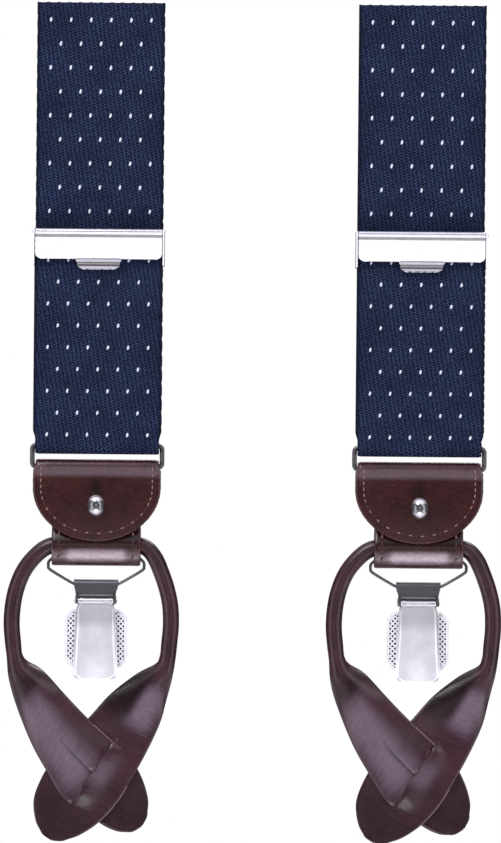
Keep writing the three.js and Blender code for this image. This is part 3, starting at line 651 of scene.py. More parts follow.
def shifted(side, made):
    """Moves a piece's mesh from the strap's own centre line to the side it belongs to."""
    made.name = made.data.name = f"{side}_{made.name}"
    made.data.transform(Matrix.Translation((centre_x(side), 0, 0)))
    made.data.update()
    return made


# ---- webbing ----
FOLD_R = TAPE_MID / MM
BAR_Z = TOP_BAR / MM
FRONT_V_START = 60.0
TAPE_SLACK = 0.06


def tape_grid(y, z, v, columns=49):
    """The tape's middle surface: y and z down its path, x across, narrowed where it enters the ring."""
    half = HALF_TAPE / MM - (HALF_TAPE - FOLD_HALF) / MM * ease(-z, -BAR_Z - 4.2, -BAR_Z - 1.8)
    u = np.linspace(-1, 1, columns)
    x = half[:, None] * u[None]
    wave = 0.05 * np.sin(z / 9.0)[:, None] * u[None] ** 2
    grid = grid_of(x, y[:, None] + wave, z[:, None])
    return grid, np.stack([x, v[:, None] + 0 * x], -1)


def webbing(side):
    """The tape from its cut end down behind the adjuster, under the ring's bar and up to the adjuster."""
    turn = np.linspace(0, math.pi / 2, 13)
    straight = np.linspace(-0.02, BAR_Z, 121)
    rear_y = np.concatenate([np.full(len(straight), FOLD_R), FOLD_R * np.cos(turn[1:])])
    rear_z = np.concatenate([straight, BAR_Z - FOLD_R * np.sin(turn[1:])])
    grid, uv = tape_grid(rear_y, rear_z, -rear_z)
    thickness = TAPE / MM - TAPE_SLACK
    rear = shifted(side, bevel(thick("rear_tape", grid, thickness, ["rear_tape"], uv), 0.3, 3))
    straight = np.linspace(BAR_Z, FRONT_TAPE_TOP / MM, 97)
    front_y = np.concatenate([-FOLD_R * np.sin(turn[:-1]), np.full(len(straight), -FOLD_R)])
    front_z = np.concatenate([BAR_Z - FOLD_R * np.cos(turn[:-1]), straight])
    grid, uv = tape_grid(front_y, front_z, -front_z - FRONT_V_START)
    front = shifted(side, bevel(thick("front_tape", grid, thickness, ["front_tape"], uv), 0.3, 3))
    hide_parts(f"{side}_upper_webbing", f"{side}_rear_webbing", f"{side}_webbing_fold")
    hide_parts(f"{side}_front_webbing")
    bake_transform(rear)
    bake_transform(front)


# ---- adjuster and ring ----
def adjuster_plate(side):
    """The cam's front: a knuckle round the hinge pin, the plate and its curled lift tab, from one sheet."""
    axis_y, axis_z = (c / MM for c in pivot("adjuster_cam"))
    half = CAM_HIGH[0] / MM
    sheet, tab_full = 0.55, 6.2
    plate_corner, tab_corner = 1.6, 1.3
    radius = -CAM_LOW[1] / MM + axis_y - sheet / 2 - 0.02
    tab_share = tab_full / half
    foot = axis_z - 7.3
    tab_foot = CAM_LOW[2] / MM
    around = np.linspace(-2.2, 0, 15)
    rows_y = np.concatenate([axis_y - radius * np.cos(around), np.full(20, axis_y - radius)])
    rows_z = np.concatenate([axis_z - radius * np.sin(around), np.linspace(axis_z - 0.4, foot, 20)])
    down = np.linspace(0, 1, 9)[1:]
    rows_y = np.concatenate([rows_y, axis_y - radius + 0.28 * np.sin(down * math.pi)])
    rows_z = np.concatenate([rows_z, foot + (tab_foot - foot) * down])
    u = np.concatenate([np.linspace(-1, -tab_share, 17), np.linspace(-tab_share, tab_share, 17)[1:-1],
                        np.linspace(tab_share, 1, 17)])
    plate_half = half - rounding(foot + plate_corner - rows_z, plate_corner) * 0.9
    tab_half = tab_full - rounding(tab_foot + tab_corner - rows_z, tab_corner) * 1.2
    tab_half = tab_half - 0.5 * ease(foot - rows_z, 0, 1.2)
    inner = np.minimum(np.abs(u), tab_share) / tab_share
    outer = (np.abs(u) - tab_share).clip(0) / (1 - tab_share)
    x = np.sign(u) * (inner * tab_half[:, None] + outer * (plate_half - tab_half)[:, None])
    grid = grid_of(x, rows_y[:, None], rows_z[:, None])
    kept = np.ones((len(rows_z) - 1, len(u) - 1), bool)
    middle = (np.abs(u[:-1] + u[1:]) / 2 < tab_share)[None]
    kept[rows_z[:-1] <= foot + 0.001] = middle
    made = shifted(side, bevel(thick("cam_plate", grid, sheet, ["cam_nickel"], kept=kept), 0.14, 3))
    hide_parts(f"{side}_adjuster_cam_plate")
    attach(made, f"{side}_cam")


def wire_ring(side):
    """A round-cornered oblong of wire: straight bars joined by quarter turns."""
    half_x, half_z = (RING_HIGH[0] - WIRE_R) / MM, (TOP_BAR - LOW_BAR) / 2 / MM
    corner = 1.2
    quarter = np.linspace(0, math.pi / 2, 9)
    centre = (TOP_BAR + LOW_BAR) / 2 / MM
    path = []
    for k, (sx, sz) in enumerate(((1, 1), (-1, 1), (-1, -1), (1, -1))):
        angle = quarter + k * math.pi / 2
        path.append(grid_of(sx * (half_x - corner) + corner * np.cos(angle), 0,
                            centre + sz * (half_z - corner) + corner * np.sin(angle)))
    made = shifted(side, wire("wire_ring", np.concatenate(path), WIRE_R / MM - 0.01, ["wire"], 20, True))
    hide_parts(f"{side}_ring")
    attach(made, f"{side}_ring")


# ---- studded tab ----
FLARE = math.radians(9)
HINGE_Z = pivot("flap_hinge")[1] / MM
LOW_BAR_Z = LOW_BAR / MM
LEAF = 1.2
LEAF_R = WIRE_R / MM + 0.3 + LEAF / 2
STRAIGHT = 4.2
DROP = 14.7
STUD_T = 9.1
NECK_HALF = FOLD_HALF / MM
LEAF_HALF = FLAP_HIGH[0] / MM
OVER_BAR = LOW_BAR_Z - HINGE_Z + LEAF_R * math.pi / 2 + 0.9
THREADS = ["thread_dark", "thread_tan"]


def leaf_place(x, t, front):
    """Bends the flat leaf: t below the hinge line it leans away, above it runs up and over the ring's bar."""
    below = np.maximum(t, 0)
    lean = below**2 / (below + 2.5)
    straight = LOW_BAR_Z - HINGE_Z
    angle = np.clip((-t - straight) / LEAF_R, 0, None)
    dome = 0.25 * np.sin(np.clip(below / (STRAIGHT + DROP), 0, 1) * math.pi)
    dome = dome * (1 - (x / LEAF_HALF) ** 2)
    hanging = t > -straight
    y = np.where(hanging, -LEAF_R - math.tan(FLARE) * lean - dome, -LEAF_R * np.cos(angle))
    hung_z = HINGE_Z - t * np.cos(FLARE * ease(below, 0, 3))
    z = np.where(hanging, hung_z, LOW_BAR_Z + LEAF_R * np.sin(angle))
    return grid_of(x, y if front else -y, z)


def leaf_outline(angle, top):
    """The leaf's edge about the stud, as x and t: a half-ellipse below straight sides, a neck on top."""
    reach = np.linspace(0, 40, 1601)[None]
    x, t = reach * np.sin(angle)[:, None], STUD_T + reach * np.cos(angle)[:, None]
    low = np.maximum(t - STRAIGHT, 0) / DROP
    half = LEAF_HALF - (LEAF_HALF - NECK_HALF) * ease(-t, 0.2, 1.4)
    inside = ((x / half) ** 2 + low**2 < 1) & (t > -top)
    last = np.argmin(inside, axis=1)
    edge = reach[0, last]
    return edge * np.sin(angle), STUD_T + edge * np.cos(angle)


def leaf(side, name, top, hole, front):
    """One leaf of the tab as a ring of cells round the stud's hole."""
    corner = math.atan2(NECK_HALF, -(STUD_T + top))
    foot = np.linspace(-corner, corner, 121)
    across = math.pi + np.linspace(corner - math.pi, math.pi - corner, 56)[1:-1]
    angle = np.concatenate([foot, across])
    ex, et = leaf_outline(angle, top)
    share = np.concatenate([[0, 0.03, 0.08], np.linspace(0.14, 0.92, 38), [0.955, 0.98, 1.0]])
    share = share[:, None]
    hx, ht = hole[0] * np.sin(angle), STUD_T + hole[1] * np.cos(angle)
    x, t = hx * (1 - share) + ex * share, ht * (1 - share) + et * share
    grid = leaf_place(x, t, front)
    thickness = LEAF * (1 - 0.5 * ease(share, 0.955, 1.0) ** 2)
    uv = np.stack([x, t], -1)
    skins = ["slit_leather" if front else "tab_leather", "raw_edge"]
    made = thick(name, grid, np.broadcast_to(thickness, x.shape), skins, uv, wrap=True, edge_slot=1)
    return shifted(side, bevel(made, 0.12, 2))


def tab_stitches(side):
    """A seam that follows the leaf's edge: down one side, round the foot and up the other."""
    settings = bpy.context.scene.leather_settings
    inset = settings.stitch_inset / MM
    arc = np.linspace(0, math.pi, 400)
    half = LEAF_HALF - inset
    down = np.linspace(-1.6, STRAIGHT, 80)
    x = np.concatenate([np.full(80, half), half * np.cos(arc), np.full(80, -half)])
    t = np.concatenate([down, STRAIGHT + (DROP - inset) * np.sin(arc), down[::-1]])
    run = run_lengths(np.column_stack([x, t]))
    count = int(run[-1] / (settings.stitch_pitch / MM))
    at = (np.arange(count) + 0.5) / count * run[-1]
    place, ahead, behind = (leaf_place(np.interp(at + k, run, x), np.interp(at + k, run, t), True)
                            for k in (0, 0.2, -0.2))
    outward = np.tile([[0, -1.0, 0]], (count, 1))
    place = place + outward * (LEAF / 2 - 0.02)
    kinds = ((np.interp(at, run, t) < 8.5) | (np.arange(count) % 2 == 0)).astype(int)
    return shifted(side, stitches("tab_stitches", place, ahead - behind, outward, 1.05, 0.17, THREADS, kinds))


def tab(side):
    """Front leaf over the ring's bar and down to the half-moon, back leaf behind, seam and stud."""
    front = leaf(side, "tab_front", OVER_BAR, (2.2, 2.85), True)
    seam = tab_stitches(side)
    back = leaf(side, "tab_rear", OVER_BAR - 2.2, (1.2, 1.2), False)
    for made in (front, seam):
        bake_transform(made)
    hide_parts(f"{side}_tab_flap")
    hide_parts(f"{side}_tab_back")
    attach(back, f"{side}_tab")
    low, high = STUD_LOW[1] / MM, STUD_HIGH[1] / MM
    angle = np.linspace(0.02, 2.65, 26)
    head = np.stack([2.3 * np.sin(angle), low + 2.15 * (1 - np.cos(angle))], -1)
    neck = [[0.95, low + 4.2], [1.0, low + 5.0], [1.5, low + 5.15], [1.6, low + 5.35],
            [1.5, low + 5.5], [0.9, low + 5.6], [0.9, high - 0.1], [0.8, high], [0, high]]
    profile = np.concatenate([head, neck])
    made = shifted(side, turned("stud_head", profile, (0, 0, STUD_Z), ["stud_nickel"], 48, 1.22))
    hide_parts(f"{side}_stud")
    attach(made, f"{side}_tab")


# ---- hanger strip ----
def hanger_strip(side):
    """The strip's front leaf bulges over the cord, turns under the bail's bar and comes up again behind."""
    half = STRIP_HIGH[0] / MM
    top, foot = STRIP_HIGH[2] / MM, STRIP_LOW[2] / MM + LEAF / 2
    cord_z = pivot("loop_swing")[1] / MM
    reach = -STRIP_LOW[1] / MM - LEAF / 2
    front = [(-0.72, top - 0.1), (-0.95, top - 1.6), (-1.6, top - 3.4), (-2.5, top - 5.2),
             (-reach, cord_z + 0.5), (-reach, cord_z - 1.4), (-2.7, cord_z - 3.2), (-1.5, foot + 0.35)]
    route = curve(front + [(0, foot)] + [(-y, z) for y, z in reversed(front)], 9)
    u = np.linspace(-1, 1, 61)
    x = np.broadcast_to(half * u, (len(route), len(u)))
    bulge = 0.12 * np.cos(u * math.pi / 2)[None] * np.sign(route[:, :1])
    grid = grid_of(x, route[:, :1] + bulge, route[:, 1:])
    thickness = np.broadcast_to(LEAF * (1 - 0.35 * ease(np.abs(u), 0.965, 1.0)), x.shape)
    run = run_lengths(route)
    uv = np.stack([x, run[:, None] + 0 * x], -1)
    PLACES["bulge"] = float(run[np.argmin(np.abs(route[:60, 1] - cord_z + 2.6))])
    made = thick("strip", grid, thickness, ["strip_leather", "raw_edge"], uv, edge_slot=1)
    made = shifted(side, bevel(made, 0.15, 2))
    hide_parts(f"{side}_hanger_strip")
    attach(made, f"{side}_tab")
    seams = []
    for sign in (-1, 1):
        z = np.concatenate([np.linspace(top - 0.8, cord_z + 1.0, 4), [cord_z - 1.1, cord_z - 2.9]])
        y = np.interp(z, route[:80][::-1, 1], route[:80][::-1, 0]) - LEAF / 2 + 0.05
        seams.append(np.stack([np.full(6, sign * 10.0), y, z], -1))
    places = np.concatenate(seams)
    ways = np.tile([[0, 0, 1.0]] * 4 + [[0.5, 0, 0.9]] * 2, (2, 1))
    out = np.tile([[0, -1.0, 0]], (12, 1))
    kinds = np.tile([1, 0, 1, 0, 0, 0], 2)
    made = shifted(side, stitches("strip_stitches", places, ways, out, 1.5, 0.26, THREADS, kinds))
    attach(made, f"{side}_tab")


# ---- rolled leather button loop ----
HIDE = 1.2
ROLL_R = 1.6
FULL_ROLL = 1.97 * math.pi
# The middle of the cord from tail A's root over to tail B's: x and z.
CORD_ROWS = [
    (-21.9, -177.6), (-22.4, -173.8), (-22.8, -168.9), (-22.5, -163.8), (-21.5, -159.0), (-19.6, -154.4),
    (-16.8, -150.7), (-13.6, -148.1), (-10, -147.2), (0, -147.2), (10, -147.2), (13.4, -147.9),
    (15.8, -150.5), (17.6, -154.4), (19.2, -159), (20.2, -163.8), (20.4, -168.9), (20.0, -173.8),
    (19.6, -177.6),
]
# Rows down each flat tail: outer edge x and z, inner edge x and z.
TAIL_A = [
    (-23.0, -183.6, -18.6, -179.6), (-21.2, -190.5, -14.2, -182.2), (-17.0, -201.2, -8.5, -187.8),
    (-12.2, -209.6, -1.8, -194.4), (-8.0, -216.0, 5.3, -200.8), (-2.6, -219.4, 9.9, -205.4),
    (1.9, -223.0, 12.9, -210.5), (6.0, -224.9, 14.6, -216.0), (9.6, -225.2, 14.5, -219.8),
]
TAIL_B = [
    (20.5, -182.2, 16.6, -179.9), (19.2, -188.0, 11, -182.9), (17.6, -195.2, 4.2, -187.9),
    (14.6, -202.2, -1.5, -194.1), (10.9, -209.2, -8.0, -200.8), (6.4, -216.8, -13.1, -208.3),
    (1.4, -222.4, -16.2, -215.6), (-3.6, -225.8, -15.9, -221.6), (-7.6, -227.3, -14.2, -225.3),
]
# How far each of a tail's rows is rolled up, as an angle: nearly closed at the root, almost flat at the tip.
ROLL = (4.1, 2.3, 1.15, 0.62, 0.34, 0.24, 0.2, 0.16, 0.12)
SLIT_TOP = np.array([5.3, -200.8])
SLIT_FOOT = np.array([-4.2, -215.2])
A_SLIT_TOP = np.array([-8.5, -200.1])
A_SLIT_WAY = (0.7071, -0.7071)


def loop_rows():
    """Rows from tail A's tip up round the cord and down to tail B's tip.

    Each row: the middle's x and z, the half-width vector's x and z, the roll, and the place: 0 on the
    cord, then the number of the row down tail B, or its negative down tail A.
    """
    def tail_rows(edges, place):
        outer, inner = np.array(edges)[:, :2], np.array(edges)[:, 2:]
        return np.column_stack([(outer + inner) / 2, (inner - outer) / 2, ROLL, place])

    route = np.array(CORD_ROWS)
    ahead = np.gradient(route, axis=0)
    ahead /= np.linalg.norm(ahead, axis=1, keepdims=True)
    cord = np.column_stack([route, ahead[:, 1] * ROLL_R, -ahead[:, 0] * ROLL_R,
                            np.full(len(route), FULL_ROLL), np.zeros(len(route))])
    down = np.arange(1.0, len(ROLL) + 1)
    return np.concatenate([tail_rows(TAIL_A, -down)[::-1], cord, tail_rows(TAIL_B, down)])


def rounded_tip(row, reach, sign):
    """Half an ellipse beyond a tail's last row, its rows getting closer towards the end."""
    start = 0.41
    angle = np.linspace(start, math.pi / 2 - 0.04, 15)[1:, None]
    ahead = np.array([row[3], -row[2]]) / np.hypot(row[2], row[3]) * sign
    share = (np.sin(angle) - math.sin(start)) / (1 - math.sin(start))
    centre = row[None, :2] + ahead * reach * share
    half = row[None, 2:4] * np.cos(angle) / math.cos(start)
    return np.column_stack([centre, half, np.full(14, row[4]), row[5] - sign * share])


def button_loop(side):
    """One sheet of leather: flat tails at both ends, rolled into a cord between them.

    Across the sheet s runs from -1 to 1 over an arc of angle a: the point is the row's middle plus the
    half-width vector times sin(a s / 2) / sin(a / 2), and it falls back by r (1 - cos(a s / 2)).
    Each tail is slit along s = 0, and s is shifted there so that the cut runs where it should.
    """
    rows = curve(loop_rows(), 9)
    rows = np.concatenate([rounded_tip(rows[0], 1.2, 1)[::-1], rows, rounded_tip(rows[-1], 1.0, -1)])
    centre, half, roll, place = rows[:, :2], rows[:, 2:4], rows[:, 4], rows[:, 5]
    tail_a, tail_b = (place < -0.5)[:, None], (place > 0.5)[:, None]
    depth = np.abs(place)[:, None]
    width = np.hypot(*half.T)
    gap, half_columns = 0.012, 40
    s = np.concatenate([np.linspace(-1, -gap, half_columns), np.linspace(gap, 1, half_columns)])
    length = np.linalg.norm(SLIT_TOP - SLIT_FOOT)
    way = (SLIT_TOP - SLIT_FOOT) / length
    slits = []
    for start, (dx, dz) in ((A_SLIT_TOP, A_SLIT_WAY), (SLIT_FOOT, way)):
        from_start = (centre[:, :1] - start[0]) * dz - (centre[:, 1:] - start[1]) * dx
        slits.append(np.clip(-from_start / (half[:, :1] * dz - half[:, 1:] * dx), -0.3, 0.3))
    cut = np.where(tail_a, slits[0], np.where(tail_b, slits[1], 0))
    cut = cut * ease(depth, 2.5, 3.9) * (1 - ease(depth, 7.2, 8.2))
    across = s[None] + cut * (1 - s[None] ** 2)
    roll = np.clip(roll, 0.05, FULL_ROLL)[:, None]
    phi = roll * across / 2
    open_radius = width / np.sin(np.minimum(roll[:, 0], math.pi) / 2)
    radius = np.where(roll[:, 0] >= math.pi, width, open_radius)[:, None]
    aside = radius * np.sin(phi) / width[:, None]
    flat = centre[:, None] + half[:, None] * aside[..., None]
    x, z = flat[..., 0], flat[..., 1]
    fall = radius * (1 - np.cos(phi))
    on_tail = ease(depth, 1.0, 3.5)
    past = (x - SLIT_FOOT[0]) * way[1] - (z - SLIT_FOOT[1]) * way[0]
    along = (x - SLIT_FOOT[0]) * way[0] + (z - SLIT_FOOT[1]) * way[1]
    crest = -ROLL_R + on_tail * (ROLL_R - 0.6)
    under = ease(past, -0.8, 0.5) * ease(depth, 3.0, 4.2)
    near_cut = np.exp(-((s[None] / 0.22) ** 2)) * ease(depth, 3.5, 4.2) * (1 - ease(depth, 6.2, 7.0))
    lift_a = -1.2 * ease(depth, 2.5, 4.5) * (1 - under) + 1.4 * under - 0.6 * np.sign(s)[None] * near_cut
    beside = np.exp(-((past / 3.6) ** 2)) * ease(along, -3.0, 1.5)
    beside = beside * (1 - ease(along, length - 2.0, length + 1.0))
    lift_b = np.where(s[None] < 0, -1.25 * beside, 1.0 * beside) * ease(depth, 2.5, 4.0)
    y = crest + fall * (1 - 0.35 * on_tail) + np.where(tail_a, lift_a, np.where(tail_b, lift_b, 0))
    grid = np.stack([x, y, z], -1)
    kept = np.ones((len(rows) - 1, len(s) - 1), bool)
    middle = (place[1:] + place[:-1]) / 2
    open_a = (middle < -3.8) & (middle > -6.4)
    open_b = (middle > 4.25) & (middle < 6.5)
    kept[open_a | open_b, half_columns - 1] = False
    thin = 1 - 0.3 * ease(np.abs(s), 0.93, 1.0)[None] * on_tail
    run = run_lengths(centre)
    PLACES["a_root"] = float(np.interp(-1, place, run))
    PLACES["b_root"] = float(run[np.argmax(place >= 1)])
    uv = np.stack([aside * 5, run[:, None] + 0 * x], -1)
    trim = np.zeros(kept.shape, bool)
    trim[(middle < -4.2) & (middle > -5.4), -1] = True
    trim[(middle > 5.4) & (middle < 7.6), 0] = True
    made = thick("button_loop", grid, HIDE * thin, ["rolled_leather", "loop_edge"], uv, kept, False, 1, trim)
    made = shifted(side, bevel(made, 0.14, 2))
    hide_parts(f"{side}_loop_cord", f"{side}_loop_tail_a", f"{side}_loop_tail_b")
    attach(made, f"{side}_loop")


# ---- bail and clip ----
BAIL_R = 0.4
CLIP_Y, CLIP_Z = (c / MM for c in pivot("clip_cover_hinge"))
SPINE = 0.66


def wire_bail(side):
    """A trapezium of thin wire with its ends met inside the strip."""
    half = BAIL_HIGH[0] / MM - BAIL_R
    top, foot = BAIL_HIGH[2] / MM - BAIL_R, BAIL_LOW[2] / MM + BAIL_R
    right = [(half - 3, top), (half - 1, top - 0.1), (half - 0.1, top - 0.9), (half, top - 2),
             (half - 0.6, top - 3.1), (7.5, foot + 0.9), (5.9, foot + 0.1), (4.9, foot)]
    x, z = np.array(right + [(-x, z) for x, z in reversed(right)]).T
    made = shifted(side, wire("bail", curve(grid_of(x, 0, z), 8, True), BAIL_R, ["wire"], 20, True))
    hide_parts(f"{side}_wire_bail")
    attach(made, f"{side}_bail")


def clip_cover(side):
    """The long crowned plate: x across, t down from the hinge, bowed forward and rounded at its foot."""
    foot = CLIP_Z - COVER_LOW[2] / MM
    corner, knuckle_r = 1.5, 0.86
    down = np.concatenate([np.linspace(1.0, foot - corner, 40),
                           foot - corner * np.cos(np.linspace(0.1, 1.45, 14)), [foot]])
    full = 5.15 + 0.75 * ease(down, 0, foot) - 0.45 * (1 - ease(down, 1.2, 2.6))
    half = full - rounding(down - foot + corner, corner) * 0.85
    u = np.linspace(-1, 1, 41)
    x = half[:, None] * u[None]
    bow = 0.9 * np.sin(math.pi * np.clip(down / foot, 0, 1))[:, None] * (1 - u[None] ** 2 * 0.9)
    turned_in = 0.55 * ease(np.abs(u), 0.85, 1.0)[None]
    y = CLIP_Y - 0.5 - bow + turned_in
    grid = grid_of(x, y, (CLIP_Z - down)[:, None])
    made = shifted(side, bevel(thick("clip_cover_plate", grid, 0.7, ["cover_nickel"]), 0.16, 3))
    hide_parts(f"{side}_clip_cover")
    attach(made, f"{side}_cover")
    angle = np.linspace(0, TURN, 33)[:-1]
    section = grid_of(0.0, CLIP_Y + knuckle_r * np.cos(angle), CLIP_Z + knuckle_r * np.sin(angle))
    stations = section[None] + np.array([[[x, 0, 0]] for x in (-4.7, -4.65, 4.65, 4.7)])
    knuckle = shifted(side, tube("clip_knuckle", stations, ["nickel"]))
    neck_x, neck_z = np.meshgrid(np.linspace(-4.5, 4.5, 9), np.linspace(CLIP_Z - 0.2, CLIP_Z - 1.6, 5))
    neck = thick("clip_neck", grid_of(neck_x, CLIP_Y - 0.52, neck_z), 0.6, ["cover_nickel"])
    neck = shifted(side, neck)
    for made in (knuckle, neck):
        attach(made, f"{side}_cover")


def clip_body(side):
    """The spine: rolled round the bail at its top, cranked past the hinge pin and down behind the jaws."""
    top = BAIL_LOW[2] / MM + BAIL_R
    eye = 1.05
    start = [(eye * math.cos(a), top + eye * math.sin(a)) for a in np.linspace(-1.9, math.pi, 22)]
    rest = [(-eye, top - 0.6), (-eye, CLIP_Z + 1.6), (-0.4, CLIP_Z + 0.9), (0.1, CLIP_Z - 0.6),
            (1.0, CLIP_Z - 1.9), (2.05, CLIP_Z - 2.9), (2.05, CLIP_Z - 6), (2.05, CLIP_Z - 14.5)]
    path = curve(np.array(start + rest), 3)
    u = np.linspace(-1, 1, 25)
    z = path[:, 1:]
    half = 5.95 - 1.05 * np.clip((top - z) / (top - CLIP_Z), 0, 1) - 0.5 * ease(CLIP_Z - 3 - z, 0, 4)
    x = half * u[None]
    made = thick("clip_spine", grid_of(x, path[:, :1], z), SPINE, ["dark_steel"])
    made = shifted(side, bevel(made, 0.12, 2))
    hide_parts(f"{side}_clip_body")
    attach(made, f"{side}_clip")
    y, z = np.meshgrid(np.linspace(CLIP_Y - 0.75, -0.1, 7), np.linspace(CLIP_Z + 1.5, CLIP_Z - 0.7, 7))
    for name, x in (("clip_ear_left", -5.15), ("clip_ear_right", 5.15)):
        made = shifted(side, bevel(thick(name, grid_of(x, y, z), SPINE, ["dark_steel"]), 0.12))
        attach(made, f"{side}_clip")


def grip_plate(side):
    """Perforated sheet: square cells on their corners, each with a round hole, inside a chamfered rim."""
    metal = bpy.context.scene.metal_settings
    pitch = metal.hole_pitch / MM
    radius = metal.hole_radius / MM
    half_x = GRIP_HIGH[0] / MM
    top, foot = GRIP_HIGH[2] / MM, GRIP_LOW[2] / MM
    y_front = GRIP_LOW[1] / MM + 0.02
    middle, half_z = (top + foot) / 2, (top - foot) / 2
    sheet, band_sheet, border, covered, corner_cut, sides = 0.5, 0.5, 0.8, 3.6, 2.2, 12
    columns = int((half_x - 0.35) / (pitch / 2))
    i, j = np.meshgrid(np.arange(-columns, columns + 1), np.arange(-40, 41), indexing="ij")
    cx, cz = i * pitch / 2, middle + j * pitch / 2
    across, up = np.abs(cx), np.abs(cz - middle)
    inside = (across < half_x - border) & (up < half_z - border) & (across > covered)
    there = ((i + j) % 2 == 0) & (across + up < half_x + half_z - corner_cut) & inside
    angle = np.arange(sides) / sides * TURN
    square = pitch / 2 / (np.abs(np.cos(angle)) + np.abs(np.sin(angle)))
    rings = ((square, y_front), (radius, y_front), (radius, y_front + sheet), (square, y_front + sheet))
    cell = np.stack([grid_of(reach * np.cos(angle), y, reach * np.sin(angle)) for reach, y in rings])
    centres = grid_of(cx[there], 0, cz[there])
    points = cell[None] + centres[:, None, None]
    faces = quads(len(rings), sides, True, True)[None]
    faces = faces + (np.arange(len(centres)) * len(rings) * sides)[:, None, None]
    made = shifted(side, put("grip_mesh", points, faces, ["grip_nickel"], smooth=False))
    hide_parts(f"{side}_clip_grip_plate")
    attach(made, f"{side}_clip")
    u = np.linspace(-1, 1, 21)
    z = np.linspace(top - 0.6, foot + 0.6, 25)
    width = half_x - 0.5 - 0.9 * np.clip(1.6 - np.minimum(top - z, z - foot), 0, 1.6)
    x = width[:, None] * u[None]
    grid = grid_of(x, y_front + 0.62, z[:, None])
    back = shifted(side, thick("grip_backing", grid, 0.1, ["rubber"]))
    band = []
    for inset in (0.0, 0.17, 0.33, 0.5):
        right, chamfer = half_x - inset, 1.9 - 0.6 * inset
        above, below = top - inset, foot + inset
        turn = [(right, below + chamfer), (right, above - chamfer), (right - chamfer, above)]
        turn += [(-x, z) for x, z in turn[::-1]] + [(-right + chamfer, below), (right - chamfer, below)]
        share = (np.arange(6) / 6)[None, :, None]
        turn = np.array(turn)
        route = (turn[:, None] * (1 - share) + np.roll(turn, -1, 0)[:, None] * share).reshape(-1, 2)
        band.append(grid_of(route[:, 0], y_front + 0.22, route[:, 1]))
    rim = thick("grip_rim", np.stack(band)[::-1], band_sheet, ["grip_nickel"], wrap=True)
    for made in (back, shifted(side, bevel(rim, 0.1))):
        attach(made, f"{side}_clip")


# ---- stage ----
def aim(made, target):
    made.rotation_euler = (Vector(target) - Vector(made.location)).to_track_quat("-Z", "Y").to_euler()


def lamp(name, place, target, size, power, colour=(1, 1, 1)):
    light = bpy.data.lights.new(name, "AREA")
    light.shape = "RECTANGLE"
    light.size, light.size_y = size
    light.energy = power
    light.color = colour
    made = bpy.data.objects.new(name, light)
    bpy.context.scene.collection.objects.link(made)
    made.location = place
    aim(made, target)
    return made


def build_world(scene):
    """Plain white for the camera; the pieces see a studio that is dark low down and bright overhead."""
    world = bpy.data.worlds.new("studio")
    scene.world = world
    world.use_nodes = True
    tree = world.node_tree
    tree.nodes.clear()
    kinds = ("Background", "Background", "TexCoord", "SeparateXYZ", "MapRange", "Mix", "LightPath",
             "MixShader", "OutputWorld")
    white, studio, place, split, height, tone, rays, choose, out = (
        tree.nodes.new(f"ShaderNode{kind}") for kind in kinds)
    white.inputs["Color"].default_value = (1, 1, 1, 1)
    white.inputs["Strength"].default_value = 1.0
    studio.inputs["Strength"].default_value = 0.5
    height.interpolation_type = "SMOOTHSTEP"
    height.inputs["From Min"].default_value = 0.3
    height.inputs["From Max"].default_value = 0.85
    tone.data_type = "RGBA"
    tone.inputs[6].default_value = (0.07, 0.07, 0.085, 1)
    tone.inputs[7].default_value = (2.2, 2.1, 2.4, 1)
    for source, socket in (
        (place.outputs["Generated"], split.inputs[0]),
        (split.outputs["Z"], height.inputs["Value"]),
        (height.outputs["Result"], tone.inputs["Factor"]),
        (tone.outputs[2], studio.inputs["Color"]),
        (rays.outputs["Is Camera Ray"], choose.inputs[0]),
        (studio.outputs[0], choose.inputs[1]),
        (white.outputs[0], choose.inputs[2]),
        (choose.outputs[0], out.inputs[0]),
    ):
        tree.links.new(source, socket)


def build_stage():
    """White surroundings, a pale floor well below, a broad soft key from the upper left, a rim behind."""
    scene = bpy.context.scene
    middle = (0, 0, -0.115)
    build_world(scene)
    ground = bpy.data.materials.new("pale_floor")
    ground.use_nodes = True
    shader = ground.node_tree.nodes["Principled BSDF"]
    shader.inputs["Base Color"].default_value = (0.9, 0.9, 0.9, 1)
    shader.inputs["Roughness"].default_value = 0.9
    mesh = bpy.data.meshes.new("floor")
    reach, height = 3, -1.1
    signs = ((-1, -1), (1, -1), (1, 1), (-1, 1))
    mesh.from_pydata([(x * reach, y * reach, height) for x, y in signs], [], [(0, 1, 2, 3)])
    mesh.materials.append(ground)
    floor = bpy.data.objects.new("floor", mesh)
    scene.collection.objects.link(floor)
    lamps = [
        lamp("key", (-0.34, -0.5, 0.55), middle, (0.4, 0.4), 5.0),
        lamp("fill", (0.5, -0.6, 0.3), middle, (0.3, 0.5), 1.0, (0.93, 0.95, 1.0)),
        lamp("front", (0.0, -1.1, -0.05), middle, (0.5, 0.3), 0.7),
        lamp("left strip", (-0.6, -0.35, -0.2), (0, 0, -0.18), (0.4, 0.7), 1.7),
        lamp("right strip", (0.6, -0.35, -0.2), (0, 0, -0.18), (0.4, 0.7), 1.7),
        lamp("low", (0.0, -0.6, -0.75), middle, (0.6, 0.3), 2.4),
        lamp("rim", (0.15, 0.5, 0.45), middle, (0.6, 0.3), 3.0),
    ]
    camera = bpy.data.cameras.new("camera")
    camera.lens = 150
    camera.sensor_width = 36
    camera.clip_start = 0.05
    camera.dof.use_dof = False
    made = bpy.data.objects.new("camera", camera)
    scene.collection.objects.link(made)
    target = Vector((-0.0022, 0, -0.1134))
    made.location = target + Vector((0, -0.953, 0))
    turn = (target - made.location).to_track_quat("-Z", "Y").to_matrix().to_4x4()
    made.matrix_world = Matrix.Translation(made.location) @ turn @ Matrix.Rotation(math.radians(0.52), 4, "Z")
    scene.camera = made
    scene.view_settings.view_transform = "Standard"
    scene.view_settings.look = "None"


